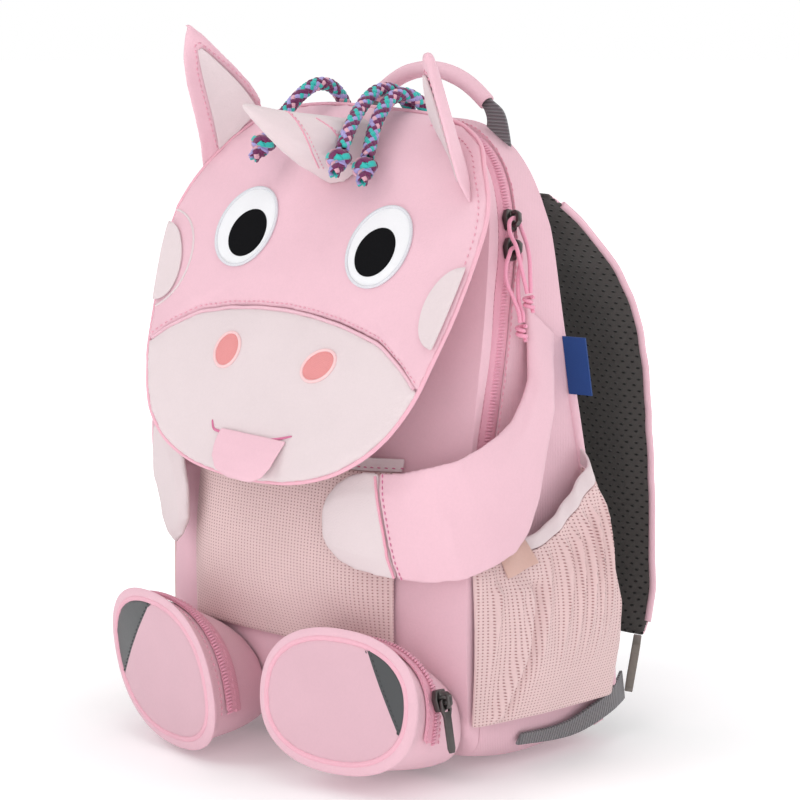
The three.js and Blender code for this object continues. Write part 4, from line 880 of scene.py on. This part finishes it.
class BAG_OT_pull_cords(bpy.types.Operator):
    """Loops the pull cords through the main sliders and knots them"""

    bl_idname = "bag.pull_cords"
    bl_label = "Pull cords"

    def execute(self, context):
        s = settings("cords")
        pitch, steps = 0.0006, 39
        for name, route in PULL_ROUTES.items():
            points = [Vector(p) * MM for p in route]
            line = resample(points, pitch)
            piece = tube("pull_loop_" + name, line, s.pull / 2, "cord_pink", nodes=["pull_cord_" + name])
            end = points[0].lerp(points[-1], 0.5)
            turns = []
            for k in range(steps + 1):
                t = k / steps
                angle = t * TURN * 2.2
                reach = 0.0025 * (0.75 + 0.25 * math.sin(t * 9))
                turns.append(end + Vector((math.cos(angle) * reach, math.sin(angle) * reach * 0.8,
                                           -0.0014 - 0.0052 * t)))
            tail = turns[-1] + Vector((0.001, -0.0005, -0.0022))
            knot = tube("pull_tie_" + name, resample([*turns, tail], pitch), s.pull / 2, "cord_pink",
                        nodes=["pull_knot_" + name])
        return {"FINISHED"}


# Body

class BAG_OT_body(bpy.types.Operator):
    """Makes the body's cloth, its zip, back panel and webbing"""

    bl_idname = "bag.body"
    bl_label = "Body"

    def execute(self, context):
        s = settings("cloth")

        def off_floor(points):
            return np.clip((points[:, 2] - 0.004) / 0.02, 0, 1)
        shell = soft_skin("front_shell", "front_cloth")
        crumple(shell, s.crumple, 0.045, 3.1, off_floor)
        finish_piece(shell, "pink", ["front_shell"])
        gusset = soft_skin("rear_gusset", "gusset_cloth")
        crumple(gusset, s.crumple * 0.8, 0.05, 7.7, off_floor)
        finish_piece(gusset, "gusset", ["rear_gusset"])
        tape = cloth_piece("main_zip", "main_zip_tape", "tape", crease=0.6)
        zip_rows("main_zip", (0, 0, 0.13), AHEAD, 0.0023, 0.0052, Surface(tape, shell, gusset))
        padded_piece("back_panel", "back_pad", 0.002, 5, "air_mesh")
        rim = [Vector((p.x, p.y - 0.0015, p.z)) for p in rim_of(["back_panel"], 0.0012, AHEAD)[:-1]]
        tube("back_binding", resample(rim, 0.004, True), 0.0026, "pink", closed=True)
        for side in SIDES:
            cloth_piece("lower_web_" + side, "webbing_" + side, "web")
        cloth_piece("label", "woven_label", "label", crease=1.0)
        return {"FINISHED"}


def zip_rows(node, origin, axis, half_width, away, skin):
    """The teeth of a coil zip, side by side along its ridge, and a row of stitches on each side."""
    line, outs = crest_line(node, origin, axis)
    pitch = settings("stitches").tooth
    fine = resample(line, pitch)
    wide = resample([p + o * 0.01 for p, o in zip(line, outs)], pitch)
    places = []
    for k, (point, along) in enumerate(zip(fine, tangents(fine))):
        other = wide[min(len(wide) - 1, round(k * (len(wide) - 1) / (len(fine) - 1)))]
        out = other - point
        out = (out - along * out.dot(along)).normalized()
        slanted = (along + out.cross(along) * 0.22).normalized()
        places.append((point - out * 0.0001, slanted, out))
    name = node.replace("_zip", "_zip_coil")
    teeth = repeat(name, (pitch * 0.42, half_width, 0.00075), 6, places)
    finish_piece(teeth, "coil", angle=60)
    rows = [[p + out.cross(along).normalized() * away * sense
             for p, out, along in zip(line, outs, tangents(line))] for sense in (1, -1)]
    stitch_row(node.replace("_zip", "_zip_stitches"), rows, skin, "thread_pale")


# Head

class BAG_OT_head(bpy.types.Operator):
    """Makes the head flap with its face, and the stitches on it"""

    bl_idname = "bag.head"
    bl_label = "Head"

    def execute(self, context):
        brow = padded_piece("forehead", "head_brow", 0.0012, 8, "pink", swell=0.0012)
        chin = padded_piece("muzzle", "head_muzzle", 0.0012, 8, "pale", swell=0.0012)
        face = Surface(brow, chin)
        seam, row = brow_edge(Surface(brow), Surface(chin))
        tube("muzzle_seam", resample(seam[::3], 0.002), 0.0009, "pink")
        stitch_row("muzzle_stitches", [row[::3]], face, "thread_pale", ray=AHEAD)
        head = ["forehead", "muzzle"]
        tube("head_binding", resample(rim_of(head, -0.0002, AHEAD)[:-1], 0.004, True), 0.001, "rim_pink",
             closed=True)
        border = [Vector((p.x, FRONT, p.z)) for p in rim_of(head, -0.004, AHEAD) if p.z > 0.212 and p.x > 0.03]
        border.sort(key=lambda p: p.z)
        stitch_row("head_stitches", [border], face, "thread_pale", ray=AHEAD)

        def ring(name, oval, grow, lift, count, paint, slot):
            """A thin border laid on the face round an oval."""
            centre, sizes, tilt = oval
            line = []
            for k in range(count):
                x, z = turned(TURN * k / count, sizes[0] + grow, sizes[1] + grow, tilt)
                line.append(on_face(face, centre[0] + x, centre[1] + z, lift))
            tube(name, resample(line, 0.001, True), 0.0008, paint, True)

        for side in SIDES:
            oval = oval_of("eye_" + side)
            disc("eye_white_" + side, oval, face, 0.0009, "felt", nodes=["eye_" + side])
            ring("eye_border_" + side, oval, -0.0004, 0.0006, 48, "satin", "white_felt")
            disc("pupil_" + side, (PUPILS[side], PUPIL_SIZES, PUPIL_TILT), face, 0.0006, "pupil",
                 lift=0.0009)
            cheek = soft_skin("cheek_" + side, "cheek_patch_" + side, crease=0.7)
            lay_over(cheek, face, 0.0003)
            finish_piece(cheek, "pale", ["cheek_" + side])
        for side, oval in NOSTRILS.items():
            disc("nostril_" + side, oval, face, 0.0005, "coral")
            ring("nostril_border_" + side, oval, 0.0004, 0.0002, 36, "nostril_rim", "pink_cloth")
        low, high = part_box("cheek_left")
        margin = 0.0045
        arc = []
        for k in range(25):
            angle = -math.pi / 2 + math.pi * k / 24
            x = low.x + math.cos(angle) * (high.x - low.x + margin)
            z = (low.z + high.z) / 2 + math.sin(angle) * ((high.z - low.z) / 2 + margin)
            found = face.hit((x, FRONT, z), AHEAD)
            if found and found[1].y < -0.35:
                arc.append(found[0])
        tube("cheek_ring_left", resample(arc, 0.0015), 0.0006, "pale")
        laid = [on_face(face, x, z, 0.0002) for x, z in LIPS]
        tube("mouth_line", resample(laid, 0.001), 0.0009, "thread",
             profile=lambda t: 0.35 + 0.65 * math.sin(math.pi * t) ** 0.5)
        padded_piece("tongue", "tongue_cloth", 0.0006, 5, "pink")
        return {"FINISHED"}


def on_face(face, x, z, lift):
    place, out = face.ahead((x, FRONT, z), AHEAD)
    return place + out * lift


def brow_edge(brow, chin):
    """The seam below the brow, found by halving between a height on it and one below it, and its stitches."""
    left, width, steps = -0.0885, 0.181, 60
    seam, row = [], []
    for k in range(steps + 1):
        x = left + width * k / steps
        inside, outside = 0.240, 0.170
        if brow.hit((x, FRONT, inside), AHEAD) is None:
            continue
        for _ in range(14):
            middle = (inside + outside) / 2
            if brow.hit((x, FRONT, middle), AHEAD) is None:
                outside = middle
            else:
                inside = middle
        above = brow.hit((x, FRONT, inside + 0.0012), AHEAD)
        below = chin.hit((x, FRONT, inside - 0.0018), AHEAD)
        if above and below:
            seam.append((above[0] + below[0]) / 2 + Vector((0, 0.0002, 0)))
            row.append(Vector((x, FRONT, inside + 0.0026)))
    return seam, row


def turned(angle, half_width, half_height, tilt):
    """A point of an ellipse that is tilted."""
    u, v = math.cos(angle) * half_width, math.sin(angle) * half_height
    return u * math.cos(tilt) - v * math.sin(tilt), u * math.sin(tilt) + v * math.cos(tilt)


def disc(name, oval, skin, thick, paint, lift=0.0, nodes=()):
    """A raised oval patch laid on a skin from the front."""
    centre, sizes, tilt = oval
    bpy.ops.object.select_all(action="DESELECT")
    bpy.ops.mesh.primitive_circle_add(vertices=56, radius=1, fill_type="NGON")
    piece = bpy.context.object
    piece.name = name
    insets = [(bpy.ops.mesh.inset, {"thickness": width}) for width in (0.06, 0.2, 0.25, 0.25)]
    edit(piece, *insets, (bpy.ops.mesh.poke, {}))
    moved = []
    for x, y, _ in vertex_array(piece):
        reach = math.hypot(x, y)
        dx, dz = turned(math.atan2(y, x), sizes[0] * reach, sizes[1] * reach, tilt)
        domed = thick * (0.5 + 0.5 * (1 - reach ** 8))
        moved.append(on_face(skin, centre[0] + dx, centre[1] + dz, lift + domed))
    set_vertices(piece, np.array([tuple(p) for p in moved]))
    facing = sum((f.normal for f in piece.data.polygons), Vector())
    if facing.y > 0:
        edit(piece, (bpy.ops.mesh.flip_normals, {}))
    apply_modifier(piece, "SOLIDIFY", thickness=lift + thick * 1.6, offset=-1)
    apply_modifier(piece, "SUBSURF", levels=1, render_levels=1)
    return finish_piece(piece, paint, nodes, angle=60)


def oval_of(node):
    """The centre, half sizes and tilt of an oval solid seen from the front."""
    outline = hull(node_points(node)[:, [0, 2]])
    ring = np.array([(p.x, p.z) for p in resample([Vector((x, 0, z)) for x, z in outline], 0.0008, True)])
    centre = (ring.max(0) + ring.min(0)) / 2
    sizes, axes = np.linalg.eigh(np.cov((ring - centre).T))
    main = axes[:, 1] if axes[0, 1] > 0 else -axes[:, 1]
    half = np.sqrt(2 * sizes)
    return tuple(centre), (half[1], half[0]), math.atan2(main[1], main[0])


def lay_over(piece, skin, clearance):
    """Lifts a patch's buried front off the skin below it."""
    points = vertex_array(piece)
    moved = points.copy()
    for k, vertex in enumerate(piece.data.vertices):
        if vertex.normal.y > -0.2:
            continue
        place, out = skin.near(points[k])
        height = (Vector(points[k]) - place).dot(out)
        if height < clearance:
            moved[k] = place + out * clearance
    set_vertices(piece, moved)


class BAG_OT_ears(bpy.types.Operator):
    """Makes the ears, their linings and the horn"""

    bl_idname = "bag.ears"
    bl_label = "Ears and horn"

    def execute(self, context):
        for side in SIDES:
            ear = padded_piece("ear_" + side, "ear_cloth_" + side, 0.0008, 14, "pink")
            cloth_piece("ear_lining_" + side, "ear_inside_" + side, "pale", 1, 0.6)
            edge = rim_of(["ear_lining_" + side], 0.0022)
            stitch_row("ear_stitches_" + side, [edge], Surface(ear), "thread_pale")
        horn = padded_piece("horn", "horn_cloth", 0.0007, 8, "pale")
        skin = Surface(horn)
        beside = Vector((0.0016, 0.0012, 0))
        for number, seam in enumerate(HORN_SEAMS, 1):
            line = [skin.near(p)[0] for p in resample([Vector(p) * MM for p in seam], 0.0012)]
            tube(f"horn_seam_{number}", line, 0.0004, "thread_pale")
            stitch_row(f"horn_stitches_{number}", [[p + beside for p in line]], skin, "thread_pale",
                       size=0.8)
        return {"FINISHED"}


# Pockets, limbs and feet

class BAG_OT_pockets(bpy.types.Operator):
    """Makes the net pockets, their hems and the tape patch"""

    bl_idname = "bag.pockets"
    bl_label = "Pockets"

    def execute(self, context):
        cloth_piece("front_pocket", "front_net_pocket", "front_net", crease=0.9)
        hem = cloth_piece("front_pocket_hem", "front_hem", "pale", crease=0.6)
        low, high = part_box("front_pocket_hem")
        row = [Vector((low.x + (high.x - low.x) * k / 12, FRONT, low.z + 0.0016)) for k in range(13)]
        stitch_row("front_hem_stitches", [row], Surface(hem), "thread", ray=AHEAD)
        for side, sign in SIDES.items():
            pocket = soft_skin("side_pocket_" + side, "side_net_pocket_" + side, 3, crease=0.9)
            gather(pocket, sign, node_points("side_hem_" + side), node_points("pocket_patch"))
            finish_piece(pocket, "side_net", ["side_pocket_" + side])
            cloth_piece("side_hem_" + side, "side_hem_band_" + side, "pale", crease=0.6)
        cloth_piece("pocket_patch", "tape_patch", "peach", crease=0.5)
        return {"FINISHED"}


def gather(piece, sign, hem, patch):
    """Folds of a gathered net: sharp ones below the hem that fade downwards, and one long slanting crease."""
    points = vertex_array(piece)
    low, high = points.min(0), points.max(0)
    depth, level = points[:, 1], points[:, 2]
    steps = np.linspace(hem[:, 1].min(), hem[:, 1].max(), 16)
    tops = np.array([hem[np.abs(hem[:, 1] - d) < 0.006, 2].min() for d in steps])
    height = (level - low[2]) / (np.interp(depth, steps, tops) - low[2])

    fold_pitch, fold_height = 0.0029, 0.0042
    phase = depth / fold_pitch + 1.7 * np.sin(depth / 0.011) + 2.2 * (1 - height)
    fine = (1 - np.abs(np.sin(phase))) ** 1.3 * fold_height * np.clip(height * 1.5 - 0.3, 0, 1)
    broad = np.sin(depth / 0.0078 + height * 2.6) * 0.0016 * np.clip(height * 2, 0, 1)

    crease = np.array(POCKET_CREASE) * MM
    away = depth - np.interp(level, crease[:, 1], crease[:, 0])
    slant = np.exp(-(away / 0.0028) ** 2) * 0.0048 - np.exp(-((away - 0.0062) / 0.0035) ** 2) * 0.002
    slant = slant * np.clip((0.118 - level) / 0.03, 0, 1)

    edge = np.clip((depth - low[1]) / 0.008, 0, 1) * np.clip((high[1] - depth) / 0.006, 0, 1)
    edge = edge * np.clip(height / 0.06, 0, 1) * np.clip((1.0 - height) / 0.07, 0, 1)
    if sign > 0:  # the tape patch lies flat, on the right pocket alone
        middle = (patch.max(0) + patch.min(0)) / 2
        half = (patch.max(0) - patch.min(0)) / 2 + 0.001
        beyond = np.maximum(np.abs(depth - middle[1]) / half[1], np.abs(level - middle[2]) / half[2])
        edge = edge * np.clip((beyond - 1) * 1.6, 0, 1)
    points[:, 0] += sign * (fine + broad + slant) * edge
    set_vertices(piece, points)


class BAG_OT_limbs(bpy.types.Operator):
    """Makes the padded arms and hands"""

    bl_idname = "bag.limbs"
    bl_label = "Arms"

    def execute(self, context):
        forward = Vector((0, -0.004, 0))
        beside = {"left": Vector((-0.0025, -0.004, 0)), "right": Vector((0.0035, -0.004, 0))}
        for side in SIDES:
            arm = padded_piece("arm_" + side, "arm_cloth_" + side, 0.001, 12, "pink",
                               swell=0.0011)
            hand = padded_piece("hand_" + side, "hand_cloth_" + side, 0.001, 10, "pale")
            skin = Surface(arm, hand)
            line = resample(shared_seam("arm_" + side, "hand_" + side), 0.003)
            laid = [skin.near(p + forward)[0] for p in line]
            tube("hand_seam_" + side, resample(laid, 0.002), 0.0007, "thread_pale")
            stitch_row("hand_stitches_" + side, [[p + beside[side] for p in line]], skin, "thread")
        return {"FINISHED"}


class BAG_OT_feet(bpy.types.Operator):
    """Makes the drum feet with their soles, zips, sliders and pulls"""

    bl_idname = "bag.feet"
    bl_label = "Feet"

    def execute(self, context):
        for side, sign in SIDES.items():
            drum = cloth_piece("foot_side_" + side, "foot_cloth_" + side, "pink", 2, 0.35, 60)
            node = "foot_sole_" + side
            points = node_points(node)
            centre = points.mean(0)
            _, _, axes = np.linalg.svd(points - centre, full_matrices=False)
            out = Vector(axes[2] if axes[2][1] < 0 else -axes[2])
            start, end = (Vector(p) * MM for p in WEDGE_EDGES[side])
            way = (end - start).normalized().cross(out)
            if way.x * sign < 0:
                way = -way
            start, end = start - way * WEDGE_SHIFT[side], end - way * WEDGE_SHIFT[side]
            sole_paint("sole_" + side, start, way)
            sole = padded_piece(node, "foot_sole_cloth_" + side, 0.0008, 5, "sole_" + side)
            row = [start.lerp(end, t) + way * 0.0012 + out * 0.02 for t in np.linspace(0.03, 0.97, 9)]
            stitch_row("wedge_stitches_" + side, [row], Surface(sole), "thread_dark", ray=tuple(-out), size=0.8)
            rim = [p + out * 0.0004 for p in rim_of([node], 0.0004, tuple(out))[:-1]]
            tube("sole_piping_" + side, resample(rim, 0.002, True), 0.0014, "rim_pink", closed=True)
            tape = cloth_piece("foot_zip_" + side, "foot_zip_tape_" + side, "tape", crease=0.5)
            zip_rows("foot_zip_" + side, Vector(centre) - out * 0.02, out, 0.0019, 0.0046, Surface(tape, drum))
        for name in ("foot_slider_left", "foot_slider_right", "main_slider_1", "main_slider_2"):
            hardware(name, name + "_metal", "gunmetal")
        for side in SIDES:
            hardware("foot_pull_" + side, "zip_pull_" + side, "gunmetal", "pull_" + side)
        return {"FINISHED"}


def hardware(node, name, paint, body=BAG, width=0.00045):
    """A cast or moulded piece with rounded edges."""
    piece = copy_of(node, name)
    apply_modifier(piece, "BEVEL", width=width, segments=3, limit_method="ANGLE", angle_limit=math.radians(28))
    return finish_piece(piece, paint, [node], body, 40)


# Straps and handle

class BAG_OT_straps(bpy.types.Operator):
    """Makes the shoulder straps, buckles and the grab handle"""

    bl_idname = "bag.straps"
    bl_label = "Straps and handle"

    def execute(self, context):
        for side, sign in SIDES.items():
            strap = padded_piece("strap_" + side, "strap_pad_" + side, 0.0012, 16, ["air_mesh", "pink"])
            paint_outside(strap)
            skin = Surface(strap)
            for edge, line in strap_edges(strap, sign).items():
                tube(f"strap_binding_{edge}_{side}", resample(line, 0.004), 0.0018, "pink")
                inward = -sign if edge == "outer" else sign
                row = [p + Vector((0.006 * inward, 0.03, 0)) for p in line]
                stitch_row(f"strap_stitches_{edge}_{side}", [row], skin, "thread_pale", ray=(0, -1, 0))
            hardware("buckle_" + side, "strap_buckle_" + side, "taupe", width=0.0008)
        grip = soft_skin("handle_grip", "handle_sleeve", crease=0.5)
        crumple(grip, 0.0004, 0.012, 5.5)
        finish_piece(grip, "pink", ["handle_grip"])
        cloth_piece("handle_web", "handle_webbing", "web_handle", crease=0.7)
        return {"FINISHED"}


def strap_edges(piece, sign):
    """The outer and inner edge of a strap, from its cross rows."""
    points = vertex_array(piece)
    lines = {"outer": [], "inner": []}
    for level in np.arange(points[:, 2].min() + 0.006, points[:, 2].max() - 0.003, 0.008):
        row = points[np.abs(points[:, 2] - level) < 0.0012]
        order = (row[:, 0] * sign).argsort()
        lines["outer"].append(Vector(row[order[-4:]].mean(0)))
        lines["inner"].append(Vector(row[order[:4]].mean(0)))
    return lines


def paint_outside(piece):
    """Mesh on the side that faces forwards, to the back panel, and cloth on the rest."""
    values = [0 if f.normal.y < -0.15 else 1 for f in piece.data.polygons]
    piece.data.polygons.foreach_set("material_index", values)


# Stage

class BAG_OT_stage(bpy.types.Operator):
    """Makes the floor, the studio light and the camera"""

    bl_idname = "bag.stage"
    bl_label = "Stage"

    def execute(self, context):
        s = settings("stage")
        bpy.ops.object.select_all(action="DESELECT")
        bpy.ops.mesh.primitive_circle_add(vertices=64, radius=6, fill_type="NGON", location=(0, 0, -0.0004))
        floor = bpy.context.object
        floor.name = "floor"
        tree, main = shader("floor_white", (0.94, 0.94, 0.945), 0.7)
        reach = tree.nodes.new("ShaderNodeVectorMath")
        reach.operation = "LENGTH"
        tree.links.new(object_place(tree)[0], reach.inputs[0])
        glow = math_node(tree, "MULTIPLY", math_node(tree, "SUBTRACT", reach.outputs["Value"], 0.12), 2.2, True)
        tree.links.new(color_mix(tree, glow, (0.13, 0.13, 0.13), (0.56, 0.56, 0.56)),
                       main.inputs["Emission Color"])
        main.inputs["Emission Strength"].default_value = 1.0
        floor.data.materials.append(PAINTS["floor_white"])

        # The world lights the bag softly and is seen as white
        world = bpy.data.worlds.new("studio")
        world.use_nodes = True
        tree = world.node_tree
        sky = tree.nodes["Background"]
        sky.inputs[0].default_value = (1, 1, 1, 1)
        path = tree.nodes.new("ShaderNodeLightPath")
        seen = math_node(tree, "MULTIPLY", path.outputs["Is Camera Ray"], 0.49)
        tree.links.new(math_node(tree, "ADD", seen, 0.51), sky.inputs[1])
        context.scene.world = world
        context.scene.view_settings.view_transform = "Standard"
        middle = Vector((0, 0, 0.15))
        for name, place, size, power in LIGHTS:
            light = bpy.data.lights.new(name, "AREA")
            light.size = size
            light.energy = power
            lamp = add_object(name, light)
            lamp.location = place
            lamp.rotation_euler = (middle - Vector(place)).to_track_quat("-Z", "Y").to_euler()

        # The camera, with the small shift that the photograph's framing needs
        camera = bpy.data.cameras.new("camera")
        camera.sensor_width = 36
        camera.lens = camera.sensor_width * s.distance / s.width
        camera.shift_x = -5 / 800
        camera.shift_y = 3 / 800
        camera.clip_start = 0.05
        eye = add_object("camera", camera)
        back = Vector((math.sin(s.azimuth) * math.cos(s.elevation),
                       -math.cos(s.azimuth) * math.cos(s.elevation), math.sin(s.elevation)))
        eye.location = Vector(s.target) + back * s.distance
        eye.rotation_euler = (-back).to_track_quat("-Z", "Y").to_euler()
        context.scene.camera = eye
        return {"FINISHED"}


class BAG_PT_panel(bpy.types.Panel):
    """Lists the steps that make the bag"""

    bl_idname = "BAG_PT_panel"
    bl_label = "Backpack"
    bl_space_type = "VIEW_3D"
    bl_region_type = "UI"
    bl_category = "Backpack"

    def draw(self, context):
        for step in STEPS:
            self.layout.operator(step.bl_idname)
        for name in SETTINGS:
            group = settings(name)
            for key in group.__annotations__:
                self.layout.prop(group, key)


STEPS = (BAG_OT_stage, BAG_OT_finishes, BAG_OT_mane, BAG_OT_pull_cords, BAG_OT_body, BAG_OT_head, BAG_OT_ears,
         BAG_OT_pockets, BAG_OT_limbs, BAG_OT_feet, BAG_OT_straps)
SETTINGS = {"cloth": BagCloth, "stitches": BagStitches, "cords": BagCords, "stage": BagStage}


def register():
    for name, group in SETTINGS.items():
        bpy.utils.register_class(group)
        setattr(bpy.types.Scene, "bag_" + name, bpy.props.PointerProperty(type=group))
    for step in (*STEPS, BAG_PT_panel):
        bpy.utils.register_class(step)


def unregister():
    for step in (BAG_PT_panel, *STEPS[::-1]):
        bpy.utils.unregister_class(step)
    for name, group in SETTINGS.items():
        delattr(bpy.types.Scene, "bag_" + name)
        bpy.utils.unregister_class(group)


def main():
    register()
    bpy.ops.bag.stage()
    bpy.ops.bag.finishes()
    bpy.ops.bag.mane()
    bpy.ops.bag.pull_cords()
    bpy.ops.bag.body()
    bpy.ops.bag.head()
    bpy.ops.bag.ears()
    bpy.ops.bag.pockets()
    bpy.ops.bag.limbs()
    bpy.ops.bag.feet()
    bpy.ops.bag.straps()
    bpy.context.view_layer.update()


if __name__ == "__main__":
    main()
